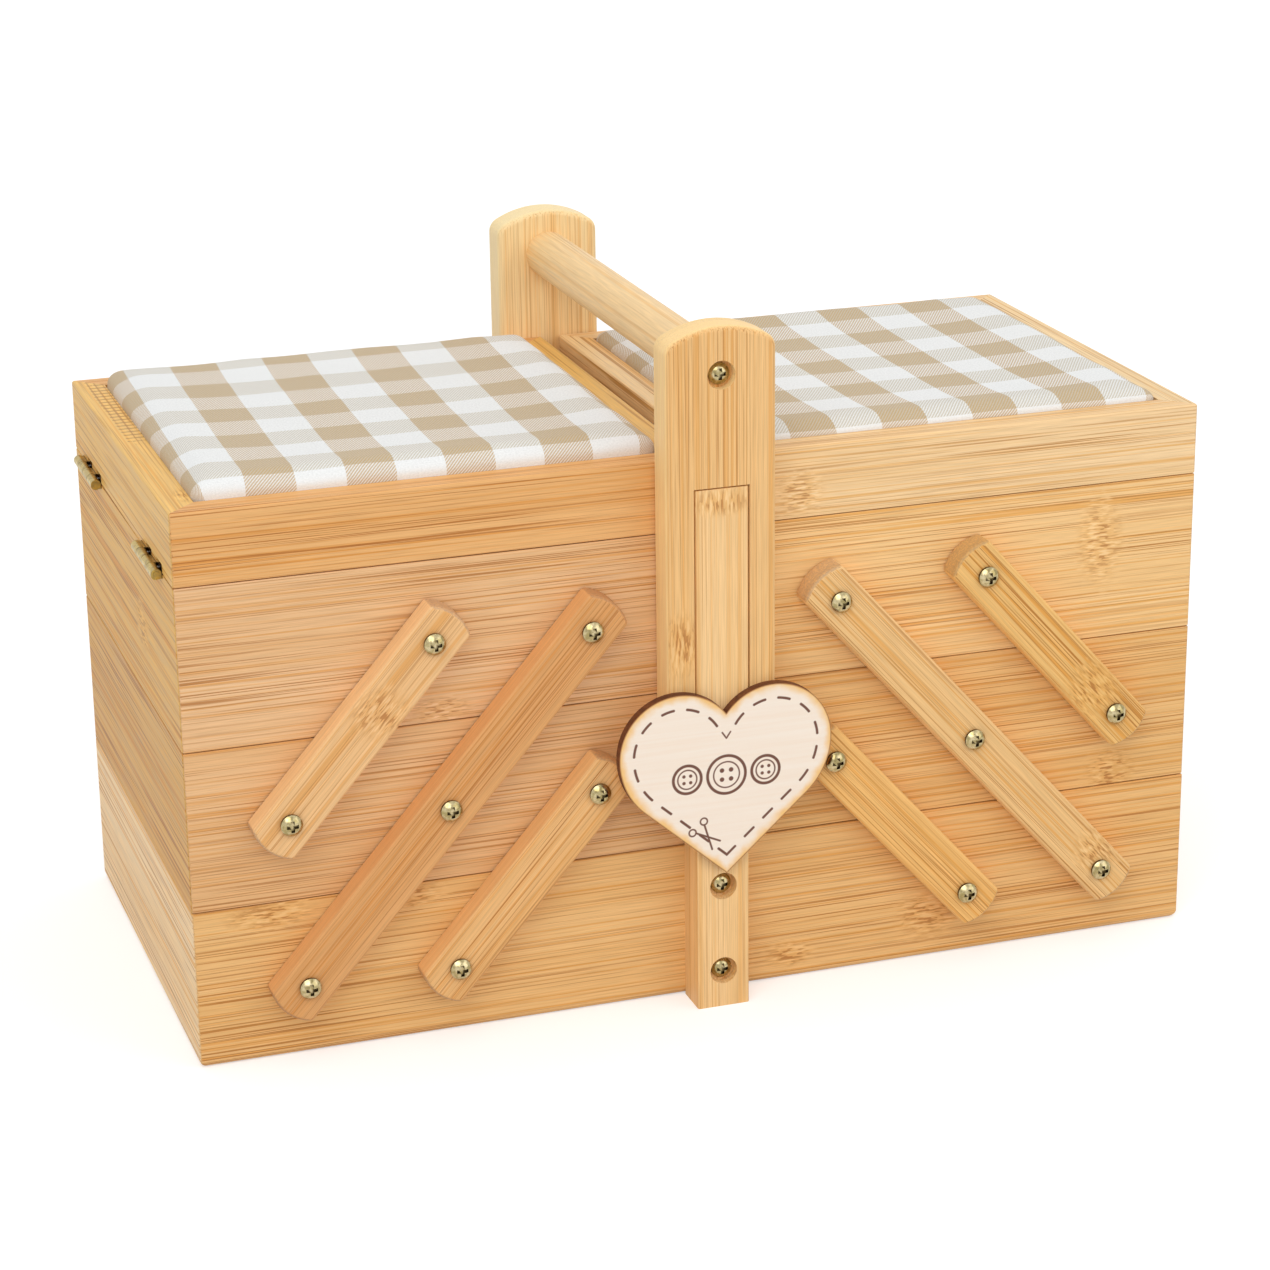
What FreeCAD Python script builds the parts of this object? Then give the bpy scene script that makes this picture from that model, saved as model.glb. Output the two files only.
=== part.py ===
import FreeCAD, Part
import math
import os
from types import SimpleNamespace

import Sketcher

# A three-tier folding sewing box in bamboo. One long bottom tray carries a fixed handle. On its left
# and on its right stand a middle tray and a top tray with a padded lid, and flat wooden links at the
# front and back swing them up and out. X runs along the length, Y from front to back and Z up. The
# origin is the middle of the bottom face. All lengths are in millimetres.

# Driving sizes
SIZES = {
    # Case
    "box_length": 320.0,
    "box_depth": 155.0,
    "tray_height": 49.5,
    "tray_seam": 0.3,
    "centre_gap": 6.0,
    "side_play": 0.3,
    "wall_thick": 9.0,
    "floor_thick": 4.0,
    "floor_lip": 4.0,
    "corner_ease": 0.8,
    "rim_ease": 0.3,
    "foot_round": 2.5,
    # Lids
    "lid_height": 22.0,
    "rail_thick": 9.0,
    "panel_thick": 3.5,
    "panel_drop": 6.5,
    "panel_lip": 3.0,
    # Lid pads
    "pad_play": 0.3,
    "pad_seat": 0.3,
    "pad_rise": 5.5,
    "pad_dish": 2.5,
    "pad_corner": 5.0,
    "pad_tuck": 2.2,
    "pad_roll": 5.0,
    # Links
    "link_width": 15.5,
    "link_thick": 8.0,
    "link_end": 10.5,
    "link_tip_rise": 2.4,
    "link_corner": 1.8,
    "link_round": 1.2,
    "long_link_rise": 25.0,
    "lower_link_rise": 23.9,
    "upper_link_rise": 27.3,
    "link_play": 0.3,
    "pivot_play": 0.05,
    # Pan head screws
    "screw_head_radius": 3.25,
    "screw_head_height": 2.4,
    "screw_head_rim": 0.8,
    "screw_shank_radius": 1.75,
    "screw_skin": 2.0,
    "recess_length": 3.5,
    "recess_width": 1.1,
    "recess_depth": 1.3,
    "pilot_play": 0.02,
    # Handle
    "strip_width": 16.5,
    "strip_thick": 12.0,
    "strip_drop": 6.4,
    "strip_round": 0.6,
    "strip_screw_foot": 11.8,
    "strip_screw_drop": 9.8,
    "sink_radius": 4.3,
    "sink_depth": 3.2,
    "post_width": 34.0,
    "post_crest": 14.5,
    "post_arch": 5.2,
    "post_shoulder": 4.6,
    "post_round": 1.8,
    "slot_play": 0.45,
    "dowel_radius": 7.5,
    "dowel_rise": 27.6,
    "dowel_screw_bite": 18.0,
    # Heart tag
    "heart_width": 67.0,
    "heart_height": 58.7,
    "heart_lobe_radius": 18.6,
    "heart_side_radius": 23.2,
    "heart_thick": 3.0,
    "heart_foot": 45.2,
    # Lid hinges
    "hinge_length": 30.0,
    "hinge_inset": 30.0,
    "leaf_width": 7.5,
    "leaf_thick": 1.2,
    "leaf_inset": 0.4,
    "barrel_radius": 1.6,
    "barrel_gap": 0.1,
    "pin_radius": 0.9,
    "pin_play": 0.05,
    "knuckle_gap": 0.3,
    "mortise_play": 0.1,
    "notch_depth": 1.6,
    "notch_height": 1.6,
    "hinge_screw_head": 1.6,
    "hinge_screw_radius": 0.9,
    "hinge_screw_length": 7.0,
    # Cuts run this far past what they cut
    "overrun": 2.0,
}

# Knuckles of one hinge, shared in turn by the tray leaf and the lid leaf
KNUCKLES = 4
# The rolled edge of a pad as turns of a quarter circle, from upright to flat
ROLL_ANGLES = (0.0, 30.0, 60.0, 90.0)
# The flat middle of a pad starts this share of its width in from the edge
DISH_SHARE = 0.3
# The pad is widest at this share of its height in the lid
GIRTH_SHARE = 0.6
# Shares of the length of the case: from its middle to the long link's pivot on the middle tray, from
# one pivot of a link to its next, and from the long link to the lower and the upper link
LONG_PIVOT_SHARE = 0.260625
LINK_REACH_SHARE = 0.13875
LOWER_LINK_SHARE = 0.143125
UPPER_LINK_SHARE = 0.149375
TOLERANCE = 1e-6


class Size:
    """A length with its value now and the expression that ties it to the sheet."""

    def __init__(self, value, text):
        self.value = value
        self.text = text

    def __add__(self, other):
        other = as_size(other)
        return Size(self.value + other.value, f"({self.text} + {other.text})")

    def __sub__(self, other):
        other = as_size(other)
        return Size(self.value - other.value, f"({self.text} - {other.text})")

    def __mul__(self, other):
        other = as_size(other)
        return Size(self.value * other.value, f"({self.text} * {other.text})")

    def __truediv__(self, other):
        other = as_size(other)
        return Size(self.value / other.value, f"({self.text} / {other.text})")

    def __neg__(self):
        return Size(-self.value, f"(0 - {self.text})")


def as_size(number):
    """Take a size as it is, and turn a plain number into one."""
    if isinstance(number, Size):
        return number
    return Size(float(number), repr(float(number)))


def root(square):
    """The square root of a size."""
    return Size(math.sqrt(square.value), f"sqrt({square.text})")


def arch_radius(width, rise):
    """The radius of an arc that is width across and rise high."""
    return (width * width / 4 + rise * rise) / (rise * 2)


doc = FreeCAD.newDocument("sewing_box")
sheet = doc.addObject("Spreadsheet::Sheet", "Sizes")
for row, (alias, number) in enumerate(SIZES.items(), start=1):
    sheet.set(f"A{row}", alias)
    sheet.set(f"B{row}", str(number))
    sheet.setAlias(f"B{row}", alias)
doc.recompute()
size = SimpleNamespace(**{alias: Size(float(sheet.get(alias)), f"Sizes.{alias}") for alias in SIZES})
parts = []


def keep(item, label):
    """Give a finished piece its label and put it on the list of pieces."""
    item.Label = label
    parts.append(item)
    return item


def place(item, x, y, z, axis=(0, 0, 1), angle=0):
    """Turn an object and tie its place to the sheet."""
    spot = [as_size(length) for length in (x, y, z)]
    base = FreeCAD.Vector(*[length.value for length in spot])
    item.Placement = FreeCAD.Placement(base, FreeCAD.Rotation(FreeCAD.Vector(*axis), angle))
    for letter, length in zip("xyz", spot):
        item.setExpression(f"Placement.Base.{letter}", length.text)


def block(name, low, high):
    """A box between two corners."""
    item = doc.addObject("Part::Box", name)
    for side, first, last in zip(("Length", "Width", "Height"), low, high):
        item.setExpression(side, (as_size(last) - first).text)
    place(item, *low)
    return item


def rod(name, radius, start, length, axis=(1, 0, 0), angle=-90):
    """A cylinder from a start point, running back along Y unless it is turned otherwise."""
    item = doc.addObject("Part::Cylinder", name)
    item.setExpression("Radius", radius.text)
    item.setExpression("Height", length.text)
    place(item, *start, axis, angle)
    return item


def cone(name, low_radius, high_radius, start, height):
    """An upright cone from a start point."""
    item = doc.addObject("Part::Cone", name)
    item.setExpression("Radius1", low_radius.text)
    item.setExpression("Radius2", high_radius.text)
    item.setExpression("Height", height.text)
    place(item, *start)
    return item


def join(name, items):
    """One solid from several."""
    item = doc.addObject("Part::MultiFuse", name)
    item.Shapes = items
    return item


def cut(name, base, tools):
    """A piece with several others cut out of it."""
    item = doc.addObject("Part::Cut", name)
    item.Base = base
    item.Tool = tools[0] if len(tools) == 1 else join(f"{name}_tools", tools)
    return item


def common(name, base, tool):
    """What two solids share."""
    item = doc.addObject("Part::Common", name)
    item.Base = base
    item.Tool = tool
    return item


def mirrored(name, item, normal):
    """The mirror image of a piece in a plane through the origin."""
    image = doc.addObject("Part::Mirroring", name)
    image.Source = item
    image.Normal = FreeCAD.Vector(*normal)
    return image


def group(name, items):
    """Several separate solids in one piece."""
    item = doc.addObject("Part::Compound", name)
    item.Links = items
    return item


def front_and_back(name, item):
    """A front piece and its mirror image at the back, as one group."""
    return group(name, [item, mirrored(f"{name}_back", item, (0, 1, 0))])


def copies(name, master, spots):
    """A group of copies of a piece, one at each spot."""
    links = []
    for number, spot in enumerate(spots):
        link = doc.addObject("App::Link", f"{name}_{number}")
        link.LinkedObject = master
        place(link, *spot)
        links.append(link)
    return group(name, links)


def new_sketch(body, name, plane, offset):
    """A sketch on one of the body's own origin planes, moved off along the plane's normal."""
    sketch = body.newObject("Sketcher::SketchObject", name)
    support = next(item for item in body.Origin.OriginFeatures if item.Role == plane)
    sketch.AttachmentSupport = [(support, "")]
    sketch.MapMode = "FlatFace"
    sketch.setExpression("AttachmentOffset.Base.z", as_size(offset).text)
    return sketch


def pin_point(sketch, curve, end, spot):
    """Tie one point of a sketch to a place measured from the sketch's origin."""
    origin = (-1, 1)
    axes = (("DistanceX", -2), ("DistanceY", -1))
    for (kind, axis), length in zip(axes, spot):
        if length.value == 0:
            sketch.addConstraint(Sketcher.Constraint("PointOnObject", curve, end, axis))
            continue
        ends = (*origin, curve, end) if length.value > 0 else (curve, end, *origin)
        text = length.text if length.value > 0 else (-length).text
        index = sketch.addConstraint(Sketcher.Constraint(kind, *ends, abs(length.value)))
        sketch.setExpression(f"Constraints[{index}]", text)


def tie_radius(sketch, curve, radius):
    """Tie the radius of an arc or circle to the sheet."""
    index = sketch.addConstraint(Sketcher.Constraint("Radius", curve, radius.value))
    sketch.setExpression(f"Constraints[{index}]", radius.text)


def draw_outline(sketch, corners, radii=None):
    """Draw a closed outline. A radius makes the run after its corner an arc: above zero it turns left."""
    corners = [tuple(as_size(length) for length in corner) for corner in corners]
    radii = radii or [None] * len(corners)
    points = [FreeCAD.Vector(x.value, y.value, 0) for x, y in corners]
    ends = []
    for number, radius in enumerate(radii):
        start = points[number]
        stop = points[(number + 1) % len(points)]
        if radius is None:
            curve = sketch.addGeometry(Part.LineSegment(start, stop))
            ends.append((curve, 1, 2))
            continue
        left = radius.value > 0
        first, last = (start, stop) if left else (stop, start)
        chord = last - first
        reach = math.sqrt(radius.value ** 2 - chord.Length ** 2 / 4)
        centre = (first + last) / 2 + FreeCAD.Vector(-chord.y, chord.x, 0).normalize() * reach
        angles = [math.atan2((point - centre).y, (point - centre).x) for point in (first, last)]
        circle = Part.Circle(centre, FreeCAD.Vector(0, 0, 1), abs(radius.value))
        curve = sketch.addGeometry(Part.ArcOfCircle(circle, *angles))
        ends.append((curve, 1, 2) if left else (curve, 2, 1))
        tie_radius(sketch, curve, radius if left else -radius)
    for number, (curve, start, _) in enumerate(ends):
        before, _, stop = ends[number - 1]
        sketch.addConstraint(Sketcher.Constraint("Coincident", before, stop, curve, start))
        pin_point(sketch, curve, start, corners[number])


def draw_circles(sketch, centres, radius):
    """Draw circles of one radius."""
    for x, y in centres:
        spot = (as_size(x), as_size(y))
        centre = FreeCAD.Vector(spot[0].value, spot[1].value, 0)
        curve = sketch.addGeometry(Part.Circle(centre, FreeCAD.Vector(0, 0, 1), radius.value))
        tie_radius(sketch, curve, radius)
        pin_point(sketch, curve, 3, spot)


def pad_out(body, sketch, thick):
    """Thicken a sketch along its normal."""
    pad = body.newObject("PartDesign::Pad", f"{sketch.Name}_pad")
    pad.Profile = sketch
    pad.setExpression("Length", thick.text)
    doc.recompute()
    return pad


def sink(body, name, y, centres, radius, depth):
    """Sink round holes backwards from a front plane, and make sure that wood was taken."""
    before = body.Shape.Volume
    sketch = new_sketch(body, name, "XZ_Plane", -y)
    draw_circles(sketch, centres, radius)
    pocket = body.newObject("PartDesign::Pocket", f"{name}_pocket")
    pocket.Profile = sketch
    pocket.setExpression("Length", depth.text)
    doc.recompute()
    if body.Shape.Volume > before - TOLERANCE:
        raise RuntimeError(f"{name} cut nothing")
    return pocket


def ease(body, feature, name, radius, wanted):
    """Round those edges of a body's last feature that are wanted."""
    names = []
    for number, edge in enumerate(feature.Shape.Edges, start=1):
        if wanted(edge):
            names.append(f"Edge{number}")
    fillet = body.newObject("PartDesign::Fillet", name)
    fillet.Base = (feature, names)
    fillet.setExpression("Radius", radius.text)
    doc.recompute()
    return fillet


def lies_at(edge, letter, length):
    """Whether a whole edge lies at one value of x, y or z."""
    box = edge.BoundBox
    low = getattr(box, f"{letter}Min")
    high = getattr(box, f"{letter}Max")
    return abs(low - length.value) < TOLERANCE and abs(high - length.value) < TOLERANCE


def stands(edge):
    """Whether an edge runs straight up."""
    return edge.BoundBox.XLength < TOLERANCE and edge.BoundBox.YLength < TOLERANCE


def runs_back(edge):
    """Whether an edge runs straight from front to back."""
    return edge.BoundBox.XLength < TOLERANCE and edge.BoundBox.ZLength < TOLERANCE


def rectangle(low_x, low_y, high_x, high_y):
    """The corners of a rectangle."""
    return [(low_x, low_y), (high_x, low_y), (high_x, high_y), (low_x, high_y)]


def eased_block(name, low, high, bottom_round, top_round):
    """A box with rounded edges, which gives boards their outer faces."""
    body = doc.addObject("PartDesign::Body", name)
    sketch = new_sketch(body, f"{name}_plan", "XY_Plane", low[2])
    draw_outline(sketch, rectangle(low[0], low[1], high[0], high[1]))
    pad = pad_out(body, sketch, high[2] - low[2])
    corners = ease(body, pad, f"{name}_corners", size.corner_ease, stands)
    bottom = ease(body, corners, f"{name}_bottom", bottom_round, lambda edge: lies_at(edge, "Z", low[2]))
    ease(body, bottom, f"{name}_top", top_round, lambda edge: lies_at(edge, "Z", high[2]))
    return body


def mitred_board(name, length, thick, low_z, high_z, spot, angle):
    """A board on edge with ends mitred at 45 degrees. It runs past the outer faces of its frame."""
    board = doc.addObject("Part::Wedge", name)
    outside = length / 2 + size.overrun
    inside = length / 2 - thick
    height = high_z - low_z + size.overrun
    lengths = {
        "Xmin": -outside, "Xmax": outside, "X2min": -inside, "X2max": inside,
        "Ymin": -size.overrun, "Ymax": thick,
        "Zmin": -size.overrun, "Zmax": height, "Z2min": -size.overrun, "Z2max": height,
    }
    for side, value in lengths.items():
        setattr(board, side, value.value)
    for side, value in lengths.items():
        board.setExpression(side, value.text)
    place(board, *spot, low_z, (0, 0, 1), angle)
    return board


def frame_boards(name, low, high, thick, envelope, front_tools, outer_tools, inner_tools):
    """Four mitred boards round a tray or lid: the front and back pair, and the pair of ends."""
    middle_x = (low[0] + high[0]) / 2
    length = high[0] - low[0]
    depth = high[1] - low[1]
    stretch = (low[2], high[2])
    front = mitred_board(f"{name}_front_board", length, thick, *stretch, (middle_x, low[1]), 0)
    outer = mitred_board(f"{name}_outer_board", depth, thick, *stretch, (low[0], 0), -90)
    inner = mitred_board(f"{name}_inner_board", depth, thick, *stretch, (high[0], 0), 90)
    pieces = []
    for board, tools in ((front, front_tools), (outer, outer_tools), (inner, inner_tools)):
        shaped = common(f"{board.Name}_shaped", board, envelope)
        pieces.append(cut(f"{board.Name}_cut", shaped, tools))
    front, outer, inner = pieces
    return front_and_back(f"{name}_long_boards", front), group(f"{name}_end_boards", [outer, inner])


def tray(label, low, high, foot, front_tools, outer_tools):
    """A tray: four mitred walls with a floor let into their lower edges."""
    envelope = eased_block(f"{label}_envelope", low, high, foot, size.rim_ease)
    inset = size.wall_thick - size.floor_lip
    floor_low = (low[0] + inset, low[1] + inset, low[2])
    floor_high = (high[0] - inset, high[1] - inset, low[2] + size.floor_thick)
    floor = keep(block(f"{label}_floor_board", floor_low, floor_high), f"{label}_floor")
    walls, ends = frame_boards(label, low, high, size.wall_thick, envelope,
                               [floor, *front_tools], [floor, *outer_tools], [floor])
    keep(walls, f"{label}_long_walls")
    keep(ends, f"{label}_end_walls")


def pan_head_screw(name, shank):
    """A pan head screw with a cross recess. Its head seats at the origin and its shank runs back."""
    head = size.screw_head_radius
    rim = size.screw_head_rim
    crown = size.screw_head_height
    body = doc.addObject("PartDesign::Body", name)
    sketch = new_sketch(body, f"{name}_half", "XY_Plane", 0)
    corners = [(0, -crown), (head, -rim), (head, 0), (size.screw_shank_radius, 0),
               (size.screw_shank_radius, shank), (0, shank)]
    dome = crown - rim
    radii = [arch_radius(head * 2, dome)] + [None] * (len(corners) - 1)
    draw_outline(sketch, corners, radii)
    turned = body.newObject("PartDesign::Revolution", f"{name}_turned")
    turned.Profile = sketch
    turned.ReferenceAxis = (sketch, ["V_Axis"])
    turned.Angle = 360
    doc.recompute()
    before = body.Shape.Volume
    recess = new_sketch(body, f"{name}_recess", "XZ_Plane", crown)
    arm = size.recess_length / 2
    half = size.recess_width / 2
    draw_outline(recess, [(-arm, -half), (-half, -half), (-half, -arm), (half, -arm),
                          (half, -half), (arm, -half), (arm, half), (half, half),
                          (half, arm), (-half, arm), (-half, half), (-arm, half)])
    pocket = body.newObject("PartDesign::Pocket", f"{name}_recess_pocket")
    pocket.Profile = recess
    pocket.setExpression("Length", size.recess_depth.text)
    doc.recompute()
    if body.Shape.Volume > before - TOLERANCE:
        raise RuntimeError(f"{name} has no recess")
    return body


def link_bar(label, pivots, back_y):
    """A flat link with a hole at each of its pivots, gently arched ends and eased edges."""
    slant = root(link_reach * link_reach + pitch * pitch)
    along = (link_reach / slant, pitch / slant)
    across = (-along[1], along[0])
    half = size.link_width / 2
    tip = size.link_end - size.link_tip_rise

    def corner(pivot, far, side):
        return tuple(pivot[axis] + along[axis] * far + across[axis] * side for axis in (0, 1))

    body = doc.addObject("PartDesign::Body", f"{label}_bar")
    sketch = new_sketch(body, f"{label}_face", "XZ_Plane", -back_y)
    bend = arch_radius(size.link_width, size.link_tip_rise)
    lowest, highest = pivots[0], pivots[-1]
    corners = [corner(lowest, -tip, -half), corner(highest, tip, -half),
               corner(highest, tip, half), corner(lowest, -tip, half)]
    draw_outline(sketch, corners, [None, bend, None, bend])
    draw_circles(sketch, pivots, size.screw_shank_radius + size.pivot_play)
    bar = pad_out(body, sketch, size.link_thick)
    rounded = ease(body, bar, f"{label}_corners", size.link_corner, runs_back)
    front_y = back_y - size.link_thick

    def is_rim(edge):
        return lies_at(edge, "Y", front_y) and not edge.isClosed()

    ease(body, rounded, f"{label}_rim", size.link_round, is_rim)
    return body


# Places that the pieces share
half_length = size.box_length / 2
half_depth = size.box_depth / 2
upper_half_depth = half_depth - size.side_play
pitch = size.tray_height + size.tray_seam
level = [pitch * number for number in range(4)]
lid_top = level[3] + size.lid_height
outer_x = -half_length
inner_x = -size.centre_gap / 2
handle_front = -half_depth - size.strip_thick
link_back = -half_depth - size.link_play
link_front = link_back - size.link_thick
pivot_seat = link_front - size.link_play
screw_tip = -half_depth + size.wall_thick - size.screw_skin
strip_screw_seat = handle_front + size.sink_depth
dowel_z = lid_top + size.dowel_rise

# Pivots of the left links on the bottom, middle and top tray, each with its rise above the tray's foot
link_reach = size.box_length * LINK_REACH_SHARE
long_pivot = -size.box_length * LONG_PIVOT_SHARE
lower_pivot = long_pivot + size.box_length * LOWER_LINK_SHARE
upper_pivot = long_pivot - size.box_length * UPPER_LINK_SHARE
rises = (size.long_link_rise, size.lower_link_rise, size.upper_link_rise)
base_pivots = ((long_pivot - link_reach, rises[0]), (lower_pivot - link_reach, rises[1]))
middle_pivots = ((long_pivot, rises[0]), (lower_pivot, rises[1]), (upper_pivot, rises[2]))
top_pivots = ((long_pivot + link_reach, rises[0]), (upper_pivot + link_reach, rises[2]))
strip_screw_heights = (size.strip_screw_foot, size.tray_height - size.strip_screw_drop)
pilot_radius = size.screw_shank_radius + size.pilot_play
pilot_start = -half_depth - size.overrun
pilot_length = screw_tip + size.pilot_play - pilot_start


def pilots(label, spots):
    """Blind holes for screws in the front wall of a tray."""
    return [rod(f"{label}_pilot_{number}", pilot_radius, (x, pilot_start, z), pilot_length)
            for number, (x, z) in enumerate(spots)]


# Bottom tray, with its pivots at both ends and two screws for each handle strip
base_spots = [(x * side, rise) for side in (1, -1) for x, rise in base_pivots]
strip_spots = [(0, z) for z in strip_screw_heights]
tray("bottom_tray", (outer_x, -half_depth, level[0]), (half_length, half_depth, size.tray_height),
     size.foot_round, pilots("bottom_tray", base_spots + strip_spots), [])
pivot_screw = pan_head_screw("pivot_screw", screw_tip - pivot_seat)
base_screws = copies("bottom_tray_front_screws", pivot_screw, [(x, pivot_seat, z) for x, z in base_spots])
keep(front_and_back("bottom_tray_screws", base_screws), "bottom_tray_pivot_screws")

# Hinges: a leaf in the rim of the top tray, a leaf in the lid, and a pin through both
hinge_x = outer_x - size.barrel_gap - size.barrel_radius
hinge_z = level[3] - size.tray_seam / 2
rim_z = level[3] - size.tray_seam
leaf_low_x = outer_x + size.leaf_inset
leaf_high_x = outer_x + size.leaf_width
hinge_middle = half_depth - size.hinge_inset
hinge_starts = [middle - size.hinge_length / 2 for middle in (-hinge_middle, hinge_middle)]
knuckle_step = size.hinge_length / KNUCKLES
hinge_screw_x = (leaf_low_x + leaf_high_x) / 2
quarter = size.hinge_length / 4
hinge_screw_places = [start + quarter * count for start in hinge_starts for count in (1, 3)]


def hinge_leaf(name, start_y, low_z, first_knuckle):
    """One leaf with every second knuckle, bored for the pin."""
    end_y = start_y + size.hinge_length
    high_z = low_z + size.leaf_thick
    knuckle = knuckle_step - size.knuckle_gap
    solids = [block(f"{name}_plate", (leaf_low_x, start_y, low_z), (leaf_high_x, end_y, high_z))]
    for number in range(first_knuckle, KNUCKLES, 2):
        near_y = start_y + knuckle_step * number + size.knuckle_gap / 2
        tab_end = (leaf_high_x, near_y + knuckle, high_z)
        solids.append(block(f"{name}_tab_{number}", (hinge_x, near_y, low_z), tab_end))
        barrel_start = (hinge_x, near_y, hinge_z)
        solids.append(rod(f"{name}_knuckle_{number}", size.barrel_radius, barrel_start, knuckle))
    bore_start = (hinge_x, start_y - size.overrun, hinge_z)
    bore_length = size.hinge_length + size.overrun * 2
    bore = rod(f"{name}_bore", size.pin_radius + size.pin_play, bore_start, bore_length)
    return join(f"{name}_solid", solids), bore


def hinge_side(label, low_z, upward, first_knuckle):
    """The leaves and screws on one side of the seam, and the cuts that they need in the wood."""
    leaves, screws, cuts = [], [], []
    for number, start_y in enumerate(hinge_starts):
        solid, bore = hinge_leaf(f"{label}_leaf_{number}", start_y, low_z, first_knuckle)
        leaves.append((solid, bore))
        low = [outer_x - size.overrun, start_y - size.mortise_play, low_z]
        high = [leaf_high_x + size.mortise_play, start_y + size.hinge_length + size.mortise_play,
                low_z + size.leaf_thick]
        if upward:
            low[2] = low[2] - size.overrun
        else:
            high[2] = high[2] + size.overrun
        cuts.append(block(f"{label}_mortise_{number}", low, high))
    sinks = []
    upright = ((0, 0, 1), 0)
    length = size.hinge_screw_length
    for number, y in enumerate(hinge_screw_places):
        radii = (size.hinge_screw_head, size.hinge_screw_radius)
        low_radius, high_radius = radii if upward else radii[::-1]
        shank_z = low_z + size.leaf_thick if upward else low_z - length
        spot = (hinge_screw_x, y, low_z)
        shank = (hinge_screw_x, y, shank_z)
        head = cone(f"{label}_head_{number}", low_radius, high_radius, spot, size.leaf_thick)
        stem = rod(f"{label}_stem_{number}", size.hinge_screw_radius, shank, length, *upright)
        screws.append(join(f"{label}_screw_{number}", [head, stem]))
        wide = [radius + size.pilot_play for radius in (low_radius, high_radius)]
        sinks.append(cone(f"{label}_sink_{number}", *wide, spot, size.leaf_thick))
        hole_radius = size.hinge_screw_radius + size.pilot_play
        cuts.append(rod(f"{label}_hole_{number}", hole_radius, shank, length, *upright))
    half = len(sinks) // len(leaves)
    finished = [cut(f"{label}_cut_{number}", solid, [bore, *sinks[number * half:(number + 1) * half]])
                for number, (solid, bore) in enumerate(leaves)]
    return group(f"{label}_leaves_pair", finished), group(f"{label}_screw_set", screws), cuts


tray_leaves, tray_leaf_screws, tray_cuts = hinge_side("tray_hinge", rim_z - size.leaf_thick, False, 0)
lid_leaves, lid_leaf_screws, lid_cuts = hinge_side("lid_hinge", level[3], True, 1)

# Notches in the lid behind the tray's knuckles, above the lid's leaf
notch_top = level[3] + size.leaf_thick + size.notch_height
for number, start_y in enumerate(hinge_starts):
    for knuckle in range(0, KNUCKLES, 2):
        near_y = start_y + knuckle_step * knuckle
        notch_end = (outer_x + size.notch_depth, near_y + knuckle_step, notch_top)
        notch_start = (outer_x - size.overrun, near_y, level[3])
        lid_cuts.append(block(f"knuckle_notch_{number}_{knuckle}", notch_start, notch_end))
pins = [rod(f"hinge_pin_{number}", size.pin_radius, (hinge_x, start_y, hinge_z), size.hinge_length)
        for number, start_y in enumerate(hinge_starts)]
hinge_pins = group("hinge_pin_pair", pins)
keep(tray_leaves, "left_hinge_tray_leaves")
keep(tray_leaf_screws, "left_tray_hinge_screws")
keep(hinge_pins, "left_hinge_pins")
keep(lid_leaves, "left_hinge_lid_leaves")
keep(lid_leaf_screws, "left_lid_hinge_screws")

# Left middle tray and left top tray
upper_trays = (("left_middle_tray", level[1], middle_pivots, []),
               ("left_top_tray", level[2], top_pivots, tray_cuts))
for label, low_z, tray_pivots, outer_tools in upper_trays:
    spots = [(x, low_z + rise) for x, rise in tray_pivots]
    tray(label, (outer_x, -upper_half_depth, low_z), (inner_x, upper_half_depth, low_z + size.tray_height),
         size.rim_ease, pilots(label, spots), outer_tools)
    screws = copies(f"{label}_front_screws", pivot_screw, [(x, pivot_seat, z) for x, z in spots])
    keep(front_and_back(f"{label}_screws", screws), f"{label}_pivot_screws")

# Left lid: four mitred rails round a panel that is let into them
lid_low = (outer_x, -upper_half_depth, level[3])
lid_high = (inner_x, upper_half_depth, lid_top)
lid_envelope = eased_block("left_lid_envelope", lid_low, lid_high, size.rim_ease, size.corner_ease)
panel_inset = size.rail_thick - size.panel_lip
panel_top = lid_top - size.panel_drop
panel_low = (lid_low[0] + panel_inset, lid_low[1] + panel_inset, panel_top - size.panel_thick)
panel_high = (lid_high[0] - panel_inset, lid_high[1] - panel_inset, panel_top)
panel = keep(block("left_lid_board", panel_low, panel_high), "left_lid_panel")
rails, end_rails = frame_boards("left_lid", lid_low, lid_high, size.rail_thick, lid_envelope,
                                [panel], [panel, *lid_cuts], [panel])
keep(rails, "left_lid_long_rails")
keep(end_rails, "left_lid_end_rails")


def pad_section(body, number, inset, z):
    """One level outline of the pad: a rectangle with round corners, drawn in from the rails."""
    gap = size.rail_thick + size.pad_play + inset
    low_x, high_x = lid_low[0] + gap, lid_high[0] - gap
    low_y, high_y = lid_low[1] + gap, lid_high[1] - gap
    bend = size.pad_corner
    sketch = new_sketch(body, f"pad_outline_{number}", "XY_Plane", z)
    corners = [(low_x + bend, low_y), (high_x - bend, low_y),
               (high_x, low_y + bend), (high_x, high_y - bend),
               (high_x - bend, high_y), (low_x + bend, high_y),
               (low_x, high_y - bend), (low_x, low_y + bend)]
    draw_outline(sketch, corners, [None, bend] * 4)
    return sketch


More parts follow.
